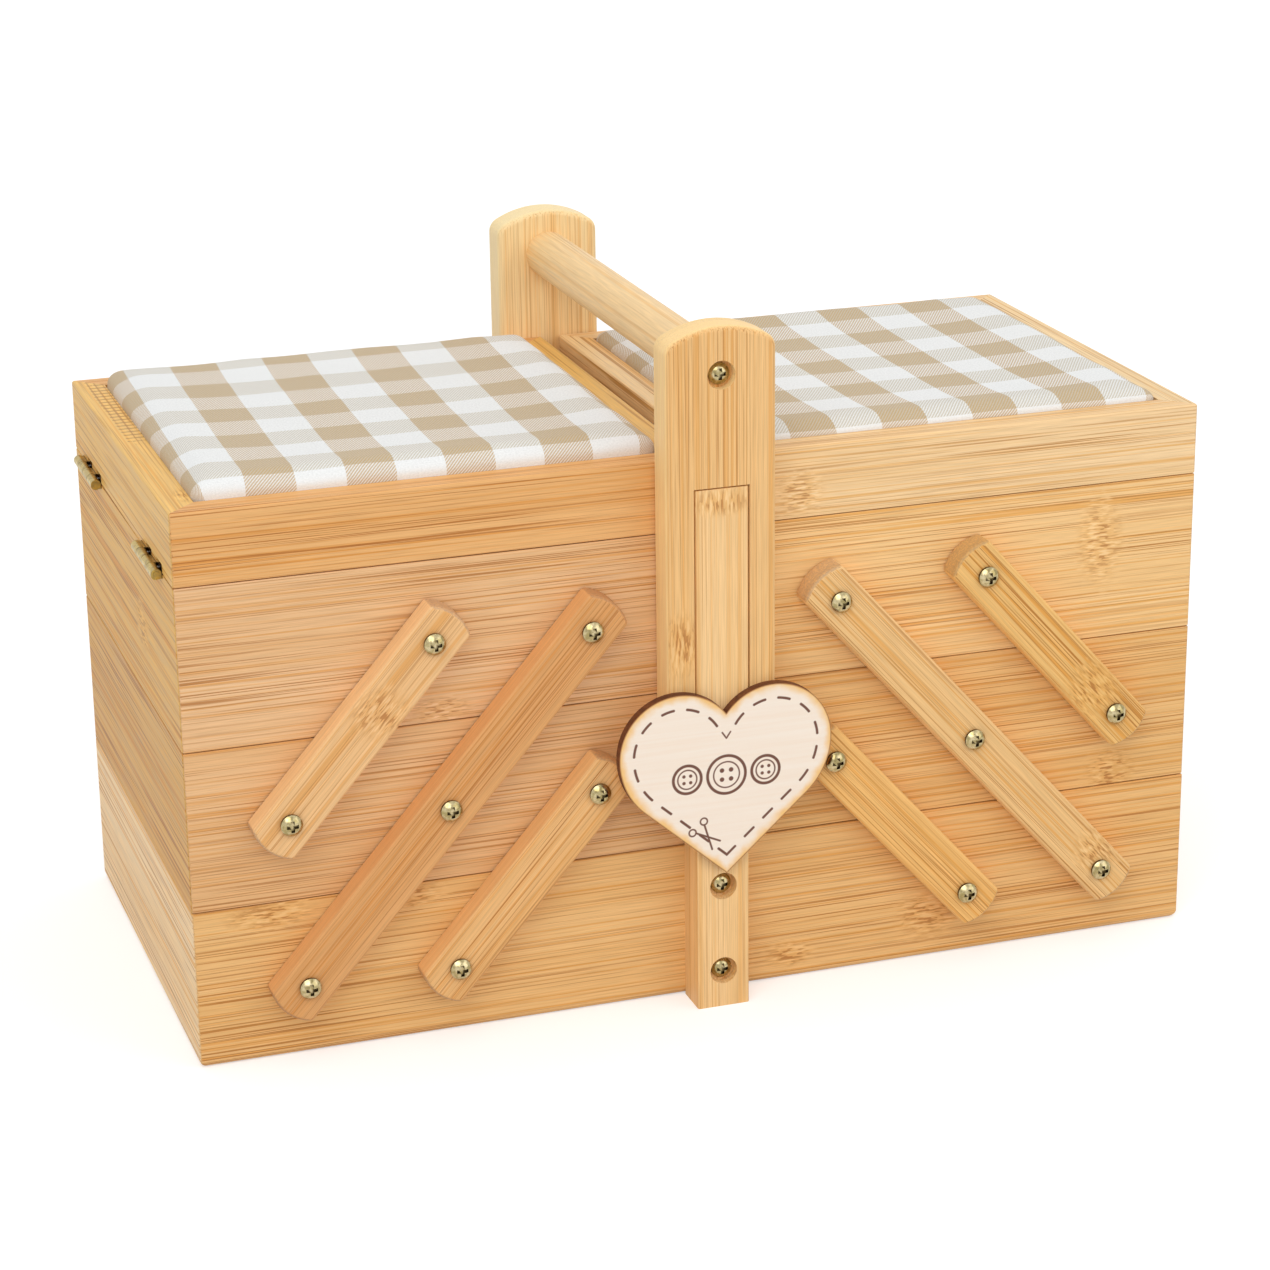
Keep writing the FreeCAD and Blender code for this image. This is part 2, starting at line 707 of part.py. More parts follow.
# Left pad: tucked in at its foot, widest below the rail tops, rolled over at the edge and dished
pad_foot = panel_top + size.pad_seat
roll_top = lid_top + size.pad_rise
roll_middle = roll_top - size.pad_roll
levels = [(size.pad_tuck, pad_foot), (as_size(0), pad_foot + (roll_middle - pad_foot) * GIRTH_SHARE)]
for turn in ROLL_ANGLES:
    drawn_in = size.pad_roll * (1 - math.cos(math.radians(turn)))
    levels.append((drawn_in, roll_middle + size.pad_roll * math.sin(math.radians(turn))))
levels.append(((lid_high[1] - lid_low[1]) * DISH_SHARE, roll_top - size.pad_dish))
pad_body = doc.addObject("PartDesign::Body", "left_pad_body")
outlines = [pad_section(pad_body, number, inset, z) for number, (inset, z) in enumerate(levels)]
pad_loft = pad_body.newObject("PartDesign::AdditiveLoft", "left_pad_loft")
pad_loft.Profile = outlines[0]
pad_loft.Sections = outlines[1:]
pad_loft.Ruled = True
keep(pad_body, "left_lid_pad")

# Left links, front and back: a long one over all three trays and a short one over each pair
link_places = (("long", level, (base_pivots[0], middle_pivots[0], top_pivots[0])),
               ("lower", level, (base_pivots[1], middle_pivots[1])),
               ("upper", level[1:], (middle_pivots[2], top_pivots[1])))
for label, tray_levels, places in link_places:
    name = f"left_{label}_link"
    spots = [(x, low_z + rise) for (x, rise), low_z in zip(places, tray_levels)]
    bar = keep(link_bar(name, spots, link_back), f"{name}_front")
    keep(mirrored(f"{name}_image", bar, (0, 1, 0)), f"{name}_back")

# The right side is the left one in a mirror
for part in [part for part in parts if part.Label.startswith("left_")]:
    label = part.Label.replace("left_", "right_", 1)
    keep(mirrored(f"{label}_image", part, (1, 0, 0)), label)

# Handle strips, screwed to the bottom tray through sunk holes
strip_top = lid_top - size.strip_drop
strip_half = size.strip_width / 2
strip_body = doc.addObject("PartDesign::Body", "strip_body")
strip_face = new_sketch(strip_body, "strip_face", "XZ_Plane", half_depth)
draw_outline(strip_face, rectangle(-strip_half, as_size(0), strip_half, strip_top))
draw_circles(strip_face, strip_spots, pilot_radius)
pad_out(strip_body, strip_face, size.strip_thick)
strip_sink = sink(strip_body, "strip_sink", handle_front, strip_spots, size.sink_radius, size.sink_depth)


def is_strip_front(edge):
    """Whether an edge is one of the two long front edges of the strip."""
    return stands(edge) and lies_at(edge, "Y", handle_front)


ease(strip_body, strip_sink, "strip_edges", size.strip_round, is_strip_front)
strip_screw = pan_head_screw("strip_screw", screw_tip - strip_screw_seat)
strip_screws = copies("front_strip_screws", strip_screw, [(x, strip_screw_seat, z) for x, z in strip_spots])
keep(strip_body, "front_handle_strip")
keep(mirrored("strip_image", strip_body, (0, 1, 0)), "back_handle_strip")
keep(front_and_back("strip_screw_pairs", strip_screws), "handle_strip_screws")

# Handle posts, forked over the strips, with arched tops
post_half = size.post_width / 2
slot_half = strip_half + size.slot_play
slot_top = strip_top + size.slot_play
tine_z = pitch * 3 / 2
crest_z = dowel_z + size.post_crest
shoulder_z = crest_z - size.post_arch
arch = arch_radius(size.post_width, size.post_arch)
post_body = doc.addObject("PartDesign::Body", "post_body")
post_face = new_sketch(post_body, "post_face", "XZ_Plane", half_depth)
post_corners = [(-post_half, tine_z), (-slot_half, tine_z), (-slot_half, slot_top), (slot_half, slot_top),
                (slot_half, tine_z), (post_half, tine_z), (post_half, shoulder_z), (-post_half, shoulder_z)]
post_radii = [None] * len(post_corners)
post_radii[-2] = arch
draw_outline(post_face, post_corners, post_radii)
draw_circles(post_face, [(0, dowel_z)], pilot_radius)
pad_out(post_body, post_face, size.strip_thick)
post_sink = sink(post_body, "post_sink", handle_front, [(0, dowel_z)], size.sink_radius, size.sink_depth)


def is_post_shoulder(edge):
    """Whether an edge is where the arch meets a side of the post."""
    return runs_back(edge) and lies_at(edge, "Z", shoulder_z)


def is_post_rim(edge):
    """Whether an edge runs round the outside of the post, at its front or back."""
    if edge.isClosed() or not (lies_at(edge, "Y", handle_front) or lies_at(edge, "Y", -half_depth)):
        return False
    outside = abs(abs(edge.CenterOfMass.x) - post_half.value) < TOLERANCE
    return outside or edge.BoundBox.ZMin > slot_top.value + TOLERANCE


post_shoulders = ease(post_body, post_sink, "post_shoulders", size.post_shoulder, is_post_shoulder)
ease(post_body, post_shoulders, "post_rim", size.post_round, is_post_rim)
keep(post_body, "front_handle_post")
keep(mirrored("post_image", post_body, (0, 1, 0)), "back_handle_post")

# Dowel between the posts, with a screw in each end
dowel_pilot = size.dowel_screw_bite + size.pilot_play
dowel_bar = rod("dowel_bar", size.dowel_radius, (0, -half_depth, dowel_z), size.box_depth)
hole_starts = (-half_depth - size.overrun, half_depth - dowel_pilot)
dowel_holes = [rod(f"dowel_hole_{number}", pilot_radius, (0, y, dowel_z), dowel_pilot + size.overrun)
               for number, y in enumerate(hole_starts)]
keep(cut("dowel_bored", dowel_bar, dowel_holes), "handle_dowel")
dowel_screw = pan_head_screw("dowel_screw", size.dowel_screw_bite - half_depth - strip_screw_seat)
dowel_front_screw = copies("dowel_front_screw", dowel_screw, [(0, strip_screw_seat, dowel_z)])
keep(front_and_back("dowel_screw_pair", dowel_front_screw), "handle_dowel_screws")

# Heart tag on the front of the strip: round lobes, wider bends below them, and straight sides to a point
lobe = size.heart_lobe_radius
bend = size.heart_side_radius
heart_half = size.heart_width / 2
lobe_x = heart_half - lobe
bend_x = heart_half - bend
lobe_z = size.heart_foot + size.heart_height - lobe
drop = lobe_z - size.heart_foot
notch_z = lobe_z + root(lobe * lobe - lobe_x * lobe_x)
tip_distance = root(bend_x * bend_x + drop * drop)
tangent_length = root(tip_distance * tip_distance - bend * bend)
turn_along = bend / tip_distance
turn_across = tangent_length / tip_distance
side_x = bend_x + bend * (turn_across * drop - turn_along * bend_x) / tip_distance
side_z = lobe_z - bend * (turn_along * drop + turn_across * bend_x) / tip_distance
heart_body = doc.addObject("PartDesign::Body", "heart_body")
heart_face = new_sketch(heart_body, "heart_face", "XZ_Plane", -handle_front)
heart_corners = [(0, size.heart_foot), (side_x, side_z), (heart_half, lobe_z), (0, notch_z),
                 (-heart_half, lobe_z), (-side_x, side_z)]
draw_outline(heart_face, heart_corners, [None, bend, lobe, lobe, bend, None])
pad_out(heart_body, heart_face, size.heart_thick)
keep(heart_body, "heart_tag")

doc.recompute()
for item in doc.Objects:
    if "Invalid" in item.State or "Error" in item.State:
        raise RuntimeError(f"{item.Label} did not build: {item.State}")
for part in parts:
    if part.Shape.isNull() or not part.Shape.isValid() or part.Shape.Volume <= 0:
        raise RuntimeError(f"{part.Label} is not a sound solid")

os.makedirs("parts", exist_ok=True)
for part in parts:
    part.Shape.exportStep(f"parts/{part.Label}.step")
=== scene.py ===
import math

import bpy
import numpy as np
from mathutils import Matrix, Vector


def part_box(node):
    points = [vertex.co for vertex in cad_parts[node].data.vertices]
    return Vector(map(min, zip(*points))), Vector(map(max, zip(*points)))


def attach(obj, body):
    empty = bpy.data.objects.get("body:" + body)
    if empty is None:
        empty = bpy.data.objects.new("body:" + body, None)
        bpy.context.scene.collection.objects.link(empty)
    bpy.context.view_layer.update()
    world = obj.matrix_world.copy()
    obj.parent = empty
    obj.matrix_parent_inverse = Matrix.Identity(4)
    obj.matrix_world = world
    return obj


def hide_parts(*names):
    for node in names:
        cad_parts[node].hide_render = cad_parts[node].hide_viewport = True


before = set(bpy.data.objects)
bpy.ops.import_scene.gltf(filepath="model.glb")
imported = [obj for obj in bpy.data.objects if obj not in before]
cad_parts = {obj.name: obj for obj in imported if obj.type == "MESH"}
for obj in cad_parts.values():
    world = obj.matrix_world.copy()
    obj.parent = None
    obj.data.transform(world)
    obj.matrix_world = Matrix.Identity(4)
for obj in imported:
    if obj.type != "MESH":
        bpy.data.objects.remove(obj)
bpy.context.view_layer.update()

# The scene is in metres. Sizes below are in millimetres unless they say otherwise.
MM = 0.001
SIDES = ("left", "right")


def linear(code):
    """A colour written as sRGB hex, as linear red, green and blue with full alpha."""
    parts = np.array([int(code[i:i + 2], 16) for i in (0, 2, 4)]) / 255
    toe = parts / 12.92
    curve = ((parts + 0.055) / 1.055) ** 2.4
    return (*np.where(parts <= 0.04045, toe, curve).tolist(), 1.0)


def tinted(code, shares):
    """A hex colour with its linear red, green and blue each taken to a share, at most full."""
    return (*[min(part * share, 1.0) for part, share in zip(linear(code), shares)], 1.0)


def add(tree, kind, *values, into=None, **settings):
    """A shader node with its settings. The values go to its shown inputs in order, None leaves one
    as it is, and into gives more inputs by name. A node given as a value is linked from its first
    shown output."""
    node = tree.nodes.new("ShaderNode" + kind)
    for name, setting in settings.items():
        setattr(node, name, setting)
    shown = [socket for socket in node.inputs if socket.enabled]
    pairs = list(zip(shown, values))
    pairs += [(node.inputs[name], value) for name, value in (into or {}).items()]
    for socket, value in pairs:
        if isinstance(value, bpy.types.Node):
            value = next(output for output in value.outputs if output.enabled)
        if isinstance(value, bpy.types.NodeSocket):
            tree.links.new(value, socket)
        elif value is not None:
            socket.default_value = value
    return node


def new_material(name):
    """A material with one shader: the material, its node tree and that shader."""
    material = bpy.data.materials.new(name)
    material.use_nodes = True
    return material, material.node_tree, material.node_tree.nodes["Principled BSDF"]


def in_millimetres(tree, coordinates):
    """The place on a piece, in millimetres of the shared frame."""
    return add(tree, "VectorMath", coordinates.outputs["Object"], (1 / MM,) * 3, operation="MULTIPLY")


def bump(tree, strength, depth, height):
    """A relief of a given strength, and a depth in millimetres."""
    return add(tree, "Bump", into={"Strength": strength, "Distance": depth * MM, "Height": height})


def wire(tree, shader, tone, rough, relief):
    """Links a surface's colour, roughness and relief to its shader."""
    for socket, value in (("Base Color", tone), ("Roughness", rough), ("Normal", relief)):
        tree.links.new(next(output for output in value.outputs if output.enabled), shader.inputs[socket])


def dress(node, material):
    """Gives a piece of the frame its material."""
    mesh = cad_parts[node].data
    mesh.materials.clear()
    mesh.materials.append(material)


# Bamboo
# Split culms are planed into strips, glued edge to edge into boards, sanded and oiled. The eye sees
# long straight fibre lines, honey and pale bands where each strip comes from another depth of the culm
# wall, a soft satin gloss, and here and there a node of the culm: a patch of short brown dashes and
# cream flecks. Real fibre lines are 0.2 to 0.3 mm wide. They are drawn at about 0.4 mm, and wider on
# the boards along y, which are seen at a slant.
LINK_SLOPE = math.radians(48.28)
QUARTER = math.pi / 2
# Turn of the figure, direction of the grain, coarseness of the figure, and how much the end grain shows
GRAINS = {
    "x": ((0, 0, 0), (1, 0, 0), 1, 0.35),
    "y": ((0, 0, -QUARTER), (0, 1, 0), 1.8, 0.35),
    "z": ((0, QUARTER, 0), (0, 0, 1), 1, 0),
    "left_link": ((0, LINK_SLOPE, 0), (math.cos(LINK_SLOPE), 0, math.sin(LINK_SLOPE)), 1, 1),
    "right_link": ((0, -LINK_SLOPE, 0), (math.cos(LINK_SLOPE), 0, -math.sin(LINK_SLOPE)), 1, 1),
}
# Length along the grain, width across it, and octaves of each layer of the figure
FIGURE = {
    "bands": (420, 8, 2),
    "amber": (300, 0.9, 2),
    "lines": (90, 0.42, 1),
    "crowd": (160, 10, 1),
    "fibre": (13, 0.34, 1),
    "ticks": (4.2, 0.66, 1),
}
STRIP_WIDTH = 16.5
STRIP_SHIFT = 400
SEED_STEP = (211, 0, 83)
# Shares of the honey's red, green and blue in each part of the figure
PALE_SHARES = (1.07, 1.13, 1.26)
AMBER_SHARES = (0.92, 0.73, 0.42)
LINE_SHARES = (0.62, 0.44, 0.26)
PATCH_SHARES = (0.97, 0.9, 0.78)
TICK_SHARES = (0.58, 0.4, 0.26)
FLECK_SHARES = (1.12, 1.2, 1.36)
END_SHARES = (0.68, 0.71, 0.93)
SAW_SHARES = (0.5, 0.36, 0.24)
# Noise between which each layer fades in, and how much of it shows at most
BAND_RANGE = (0.36, 0.64)
AMBER_RANGE, MOST_AMBER_SHARE = (0.53, 0.64), 0.8
LINE_RANGE, MOST_LINE_SHARE = (0.555, 0.635), 0.95
CROWD_RANGE, CROWD_SHARES = (0.35, 0.62), (0.35, 1)
FLECK_RANGE, MOST_FLECK_SHARE = (0.47, 0.38), 0.8
TICK_RANGE, MOST_TICK_SHARE = (0.55, 0.6), 0.85
FIBRE_RANGE = (0.3, 0.7)
# Raggedness of the outline of a knot and of a stretch of saw marks, and where each fades out in half
# sizes
KNOT_RAG, KNOT_FADE = 0.9, (0.9, 1.5)
SAW_RAG, SAW_FADE = 0.6, (1.15, 1.35)
SAW_PITCH = 3.6
SAW_HALF_WIDTH, MOST_SAW_SHARE = (0.2, 0.55), 0.95
# Painted light on the flanks fades in by how little they face along y, ends by how much they face along the
# grain
LIT_FLANK_FADE, MOST_LIT_FLANK_SHARE = (0.4, 0.8), 0.8
END_FADE = (0.3, 0.6)
STIPPLE_SCALE, STIPPLE_RANGE, STIPPLE_SHARES = 1.4, (0.3, 0.6), (0.45, 1)
# How much lighter or darker one strip or one fibre is than the next
STRIP_SHARE = 0.05
FIBRE_SHARE = 0.08
BAMBOO_ROUGHNESS = (0.44, 0.56)
BAMBOO_SPECULAR = 0.3
FIBRE_STRENGTH, FIBRE_DEPTH = 0.2, 0.12


def bamboo(name, grain, honey, seed, strength=1, knots=(), saw_marks=None, lit_flank_shares=None):
    """Bamboo board with its grain along one direction. Honey is its middle tone, and strength says
    how much the figure shows. A knot, or a stretch of saw marks across a board along y, is a place
    and its half sizes in x, y and z. A narrow bar gets painted light on its flanks, made paler by
    shares of the honey as if lit from the side. Ends show a brown stipple. The figure is noise
    stretched along the grain, in layers from broad bands to fine fibre."""
    material, tree, shader = new_material(name)
    turn, direction, coarse, end_share = GRAINS[grain]
    coordinates = add(tree, "TexCoord")
    spot = in_millimetres(tree, coordinates)
    run = add(tree, "Mapping", spot, [seed * step for step in SEED_STEP], turn)
    across = add(tree, "SeparateXYZ", run).outputs["Y"]
    strip = add(tree, "Math", across, STRIP_WIDTH, operation="DIVIDE")
    strip = add(tree, "Math", strip, operation="FLOOR")
    strip = add(tree, "Math", strip, seed, operation="ADD")
    own = add(tree, "TexWhiteNoise", strip, noise_dimensions="1D").outputs["Value"]
    shift = add(tree, "Math", own, STRIP_SHIFT, operation="MULTIPLY")
    shift = add(tree, "CombineXYZ", shift, 0, shift)
    shifted = add(tree, "VectorMath", run, shift, operation="ADD")
    layer = {}
    for key, (length, width, octaves) in FIGURE.items():
        wide = width if key == "ticks" else width * coarse
        stretched = add(tree, "VectorMath", shifted, (1 / length, 1 / wide, 1 / wide), operation="MULTIPLY")
        layer[key] = add(tree, "TexNoise", stretched, 1, octaves).outputs["Fac"]

    bands = add(tree, "MapRange", layer["bands"], *BAND_RANGE, 0, 1)
    tone = add(tree, "Mix", bands, linear(honey), tinted(honey, PALE_SHARES), data_type="RGBA")
    amber = add(tree, "MapRange", layer["amber"], *AMBER_RANGE, 0, min(MOST_AMBER_SHARE * strength, 1))
    tone = add(tree, "Mix", amber, tone, tinted(honey, AMBER_SHARES), data_type="RGBA")
    lines = add(tree, "MapRange", layer["lines"], *LINE_RANGE, 0, min(MOST_LINE_SHARE * strength, 1))
    crowd = add(tree, "MapRange", layer["crowd"], *CROWD_RANGE, *CROWD_SHARES)
    lines = add(tree, "Math", lines, crowd, operation="MULTIPLY")
    tone = add(tree, "Mix", lines, tone, tinted(honey, LINE_SHARES), data_type="RGBA")

    patch = None
    for x, y, z, half_x, half_y, half_z in knots:
        reach = add(tree, "VectorMath", spot, (x, y, z), operation="SUBTRACT")
        reach = add(tree, "VectorMath", reach, (1 / half_x, 1 / half_y, 1 / half_z), operation="MULTIPLY")
        reach = add(tree, "VectorMath", reach, operation="LENGTH")
        ragged = add(tree, "Math", layer["ticks"], KNOT_RAG, reach, operation="MULTIPLY_ADD")
        own_patch = add(tree, "MapRange", ragged, *KNOT_FADE, 1, 0)
        patch = own_patch if patch is None else add(tree, "Math", patch, own_patch, operation="MAXIMUM")
    if patch is not None:
        tone = add(tree, "Mix", patch, tone, tinted(honey, PATCH_SHARES), data_type="RGBA")
        flecks = add(tree, "MapRange", layer["ticks"], *FLECK_RANGE, 0, MOST_FLECK_SHARE)
        flecks = add(tree, "Math", flecks, patch, operation="MULTIPLY")
        tone = add(tree, "Mix", flecks, tone, tinted(honey, FLECK_SHARES), data_type="RGBA")
        ticks = add(tree, "MapRange", layer["ticks"], *TICK_RANGE, 0, MOST_TICK_SHARE)
        ticks = add(tree, "Math", ticks, patch, operation="MULTIPLY")
        tone = add(tree, "Mix", ticks, tone, tinted(honey, TICK_SHARES), data_type="RGBA")

    if saw_marks:
        reach = add(tree, "VectorMath", spot, saw_marks[:3], operation="SUBTRACT")
        along = add(tree, "SeparateXYZ", reach).outputs["Y"]
        reach = add(tree, "VectorMath", reach, [1 / half for half in saw_marks[3:]], operation="MULTIPLY")
        reach = add(tree, "VectorMath", reach, operation="ABSOLUTE")
        sides = add(tree, "SeparateXYZ", reach)
        reach = add(tree, "Math", sides.outputs["X"], sides.outputs["Y"], operation="MAXIMUM")
        reach = add(tree, "Math", reach, sides.outputs["Z"], operation="MAXIMUM")
        ragged = add(tree, "Math", layer["ticks"], SAW_RAG, reach, operation="MULTIPLY_ADD")
        inside = add(tree, "MapRange", ragged, *SAW_FADE, 1, 0)
        notch = add(tree, "Math", along, SAW_PITCH / 2, operation="PINGPONG")
        notch = add(tree, "MapRange", notch, *SAW_HALF_WIDTH, MOST_SAW_SHARE, 0)
        notch = add(tree, "Math", notch, inside, operation="MULTIPLY")
        tone = add(tree, "Mix", notch, tone, tinted(honey, SAW_SHARES), data_type="RGBA")

    # Painted light: flanks that face little along y are made paler, as if lit from the side.
    if lit_flank_shares:
        lit_flank = add(tree, "SeparateXYZ", coordinates.outputs["Normal"]).outputs["Y"]
        lit_flank = add(tree, "Math", lit_flank, operation="ABSOLUTE")
        lit_flank = add(tree, "MapRange", lit_flank, *LIT_FLANK_FADE, MOST_LIT_FLANK_SHARE, 0)
        tone = add(tree, "Mix", lit_flank, tone, tinted(honey, lit_flank_shares), data_type="RGBA")
    facing = add(tree, "VectorMath", coordinates.outputs["Normal"], direction, operation="DOT_PRODUCT")
    facing = add(tree, "Math", facing, operation="ABSOLUTE")
    ends = add(tree, "MapRange", facing, *END_FADE, 0, end_share)
    stipple = add(tree, "TexNoise", spot, STIPPLE_SCALE, 1).outputs["Fac"]
    end_tone = add(tree, "MapRange", stipple, *STIPPLE_RANGE, *STIPPLE_SHARES)
    end_tone = add(tree, "Mix", end_tone, linear(honey), tinted(honey, END_SHARES), data_type="RGBA")
    tone = add(tree, "Mix", ends, tone, end_tone, data_type="RGBA")

    light = add(tree, "MapRange", own, 0, 1, 1 - STRIP_SHARE, 1 + STRIP_SHARE)
    fine = add(tree, "MapRange", layer["fibre"], *FIBRE_RANGE, 1 - FIBRE_SHARE, 1 + FIBRE_SHARE)
    light = add(tree, "Math", light, fine, operation="MULTIPLY")
    tone = add(tree, "VectorMath", tone, light, operation="MULTIPLY")
    gloss = add(tree, "MapRange", layer["fibre"], *FIBRE_RANGE, *BAMBOO_ROUGHNESS)
    shader.inputs["Specular IOR Level"].default_value = BAMBOO_SPECULAR
    height = add(tree, "Math", layer["fibre"], lines, operation="SUBTRACT")
    relief = bump(tree, FIBRE_STRENGTH, FIBRE_DEPTH, height)
    wire(tree, shader, tone, gloss, relief)
    return material


# Front faces of trays, links and handle, and the top of the lid rails
FRONT = -77.2
LINK_FRONT = -85.8
HANDLE_FRONT = -89.5
LID_TOP = 171.4
# Piece of the frame, grain, middle tone, strength of the figure, and knots
BOARDS = (
    ("bottom_tray_long_walls", "x", "EDBA77", 1,
     ((-137, FRONT, 46, 16, 8, 5), (-96, FRONT, 46, 14, 8, 5),
      (72, FRONT, 15, 12, 8, 10), (26, FRONT, 8, 9, 8, 5))),
    ("bottom_tray_end_walls", "y", "F6D099", 1.3, ()),
    ("left_middle_tray_long_walls", "x", "EBB981", 1, ()),
    ("left_middle_tray_end_walls", "y", "D4A050", 1.3, ()),
    ("left_top_tray_long_walls", "x", "E8B985", 1,
     ((-83, FRONT, 103, 11, 8, 5), (-59, FRONT, 88, 4, 8, 3))),
    ("left_top_tray_end_walls", "y", "DDAB58", 1.4, ((-160, -25, 122, 4, 10, 9),)),
    ("left_lid_long_rails", "x", "E2AA69", 1.1, ()),
    ("left_lid_end_rails", "y", "E7B868", 0.9, ((-152, -61, LID_TOP, 4, 8, 4),)),
    ("right_middle_tray_long_walls", "x", "EDB974", 1, ((134, FRONT, 54, 10, 8, 9),)),
    ("right_middle_tray_end_walls", "y", "CB9F68", 1.3, ()),
    ("right_top_tray_long_walls", "x", "F0C486", 1.1, ((128, FRONT, 131, 9, 8, 16),)),
    ("right_top_tray_end_walls", "y", "D2AA71", 1.3, ()),
    ("right_lid_long_rails", "x", "F1CA93", 1, ((29, FRONT, 157, 9, 8, 8),)),
    ("right_lid_end_rails", "y", "F3CF97", 1, ()),
    ("left_long_link", "left_link", "DCA062", 0.8, ()),
    ("left_lower_link", "left_link", "E7B170", 1, ()),
    ("left_upper_link", "left_link", "EEBC80", 0.8, ((-103.5, LINK_FRONT, 107.5, 11, 6, 9),)),
    ("right_long_link", "right_link", "F1C281", 1, ((126, LINK_FRONT, 32, 9, 6, 9),)),
    ("right_lower_link", "right_link", "EBB56A", 1, ()),
    ("right_upper_link", "right_link", "E9B66B", 1.1, ((123, LINK_FRONT, 86, 10, 6, 11),)),
    ("front_handle_post", "z", "E8B776", 0.75, ((-13, HANDLE_FRONT, 118, 7, 4, 12),)),
    ("back_handle_post", "z", "FCD69A", 0.5, ()),
    ("front_handle_strip", "z", "F0C385", 0.6, ((0, HANDLE_FRONT, 161, 11, 4, 5),)),
    ("back_handle_strip", "z", "E6B87C", 0.6, ()),
    ("handle_dowel", "y", "F1CD96", 0.5, ()),
)
# Marks of a saw across the top of a rail: place and half sizes
SAW_MARKS = {"left_lid_end_rails": (-153.5, 36, LID_TOP, 3.2, 38, 4)}
# Shares of the honey for the painted light on the flanks of the narrow bars
LINK_LIT_FLANK_SHARES = (1.12, 1.2, 1.38)
POST_LIT_FLANK_SHARES = (1.29, 1.52, 1.87)
LIT_FLANKS = {label: LINK_LIT_FLANK_SHARES for label, *_ in BOARDS if label.endswith(("_link", "_post"))}
LIT_FLANKS["front_handle_post"] = POST_LIT_FLANK_SHARES
for seed, (label, grain, honey, strength, knots) in enumerate(BOARDS, 1):
    own_looks = (SAW_MARKS.get(label), LIT_FLANKS.get(label))
    board = bamboo("oiled_bamboo_" + label, grain, honey, seed, strength, knots, *own_looks)
    nodes = (label + "_front", label + "_back") if label.endswith("_link") else (label,)
    for node in nodes:
        dress(node, board)

# Bamboo plywood
# Thin bamboo veneers pressed crosswise, for the tray floors and the boards under the pads. Their faces
# show the same figure as the boards.
PLYWOOD_HONEY = "DDB27C"
SHEET_ENDS = ("_middle_tray_floor", "_top_tray_floor", "_lid_panel")
SHEETS = ["bottom_tray_floor"] + [side + end for side in SIDES for end in SHEET_ENDS]
for seed, label in enumerate(SHEETS, len(BOARDS) + 1):
    dress(label, bamboo("bamboo_plywood_" + label, "x", PLYWOOD_HONEY, seed))


# Metals
CLOUD_SCALE, CLOUD_RANGE = 0.7, (0.35, 0.65)
DULL_RANGE, DULL_RISE = (0.3, 0.7), 0.14
# How near a wall must be to make a hollow, and how open a hollow is where the painted shade ends
HOLLOW_REACH, HOLLOW_RANGE, HOLLOW_SAMPLES = 1.0, (0.3, 0.8), 8
# Painted shade lies on the side of a screw head, which faces little along y, as the shadow between head and
# wood
RIM_FADE, MOST_RIM_SHARE = (0.25, 0.65), 0.9
# Painted shade on a hinge: the middle of the band lies half its width inside the place where the hinge
# leaves the wood
SHADE_BAND_HALF_WIDTH = 1
HINGE_ENTRY = 160.2
SCRATCH_SCALE, SCRATCH_STRENGTH, SCRATCH_DEPTH = 6, 0.05, 0.05


def plated(name, code, tint, painted_shade, gloss, hidden=None):
    """Plated or drawn metal: a base colour that drifts to a second tint in cloudy patches about a
    millimetre wide, a gloss that dulls a little with them, and painted shade in hollows. Hidden is
    how far out, in x, a hinge enters the wood, with a band of painted shade there. Without it the
    metal is screws along y, with painted shade round the sides of the heads."""
    material, tree, shader = new_material(name)
    coordinates = add(tree, "TexCoord")
    spot = in_millimetres(tree, coordinates)
    cloud = add(tree, "TexNoise", spot, CLOUD_SCALE, 2).outputs["Fac"]
    drift = add(tree, "MapRange", cloud, *CLOUD_RANGE, 0, 1)
    tone = add(tree, "Mix", drift, linear(code), linear(tint), data_type="RGBA")
    # Painted shade: hollows within the piece are darkened towards the shade tone.
    hollow = add(tree, "AmbientOcclusion", None, HOLLOW_REACH * MM, samples=HOLLOW_SAMPLES, only_local=True)
    hollow = add(tree, "MapRange", hollow.outputs["AO"], *HOLLOW_RANGE, 1, 0)
    tone = add(tree, "Mix", hollow, tone, linear(painted_shade), data_type="RGBA")
    # Painted shade: on a hinge, a band where it enters the wood; on a screw, the side of the head, like a
    # contact shadow.
    if hidden:
        x = add(tree, "SeparateXYZ", spot).outputs["X"]
        x = add(tree, "Math", x, operation="ABSOLUTE")
        dark = add(tree, "Math", x, hidden - SHADE_BAND_HALF_WIDTH, SHADE_BAND_HALF_WIDTH, operation="COMPARE")
    else:
        facing = add(tree, "SeparateXYZ", coordinates.outputs["Normal"]).outputs["Y"]
        facing = add(tree, "Math", facing, operation="ABSOLUTE")
        dark = add(tree, "MapRange", facing, *RIM_FADE, MOST_RIM_SHARE, 0)
    tone = add(tree, "Mix", dark, tone, linear(painted_shade), data_type="RGBA")
    dull = add(tree, "MapRange", cloud, *DULL_RANGE, gloss, gloss + DULL_RISE)
    scratch = add(tree, "TexNoise", spot, SCRATCH_SCALE, 2).outputs["Fac"]
    relief = bump(tree, SCRATCH_STRENGTH, SCRATCH_DEPTH, scratch)
    shader.inputs["Metallic"].default_value = 1
    wire(tree, shader, tone, dull, relief)
    return material


# Yellow chromate over zinc on pressed steel screws: greenish gold with pale straw patches, partly the
# plating's own tint and partly painted glints, fairly bright, with painted shade in the recess and round the
# heads.
zinc = plated("yellow_zinc_plated_steel", "9E8F60", "CBBC94", "4A3A1E", 0.16)
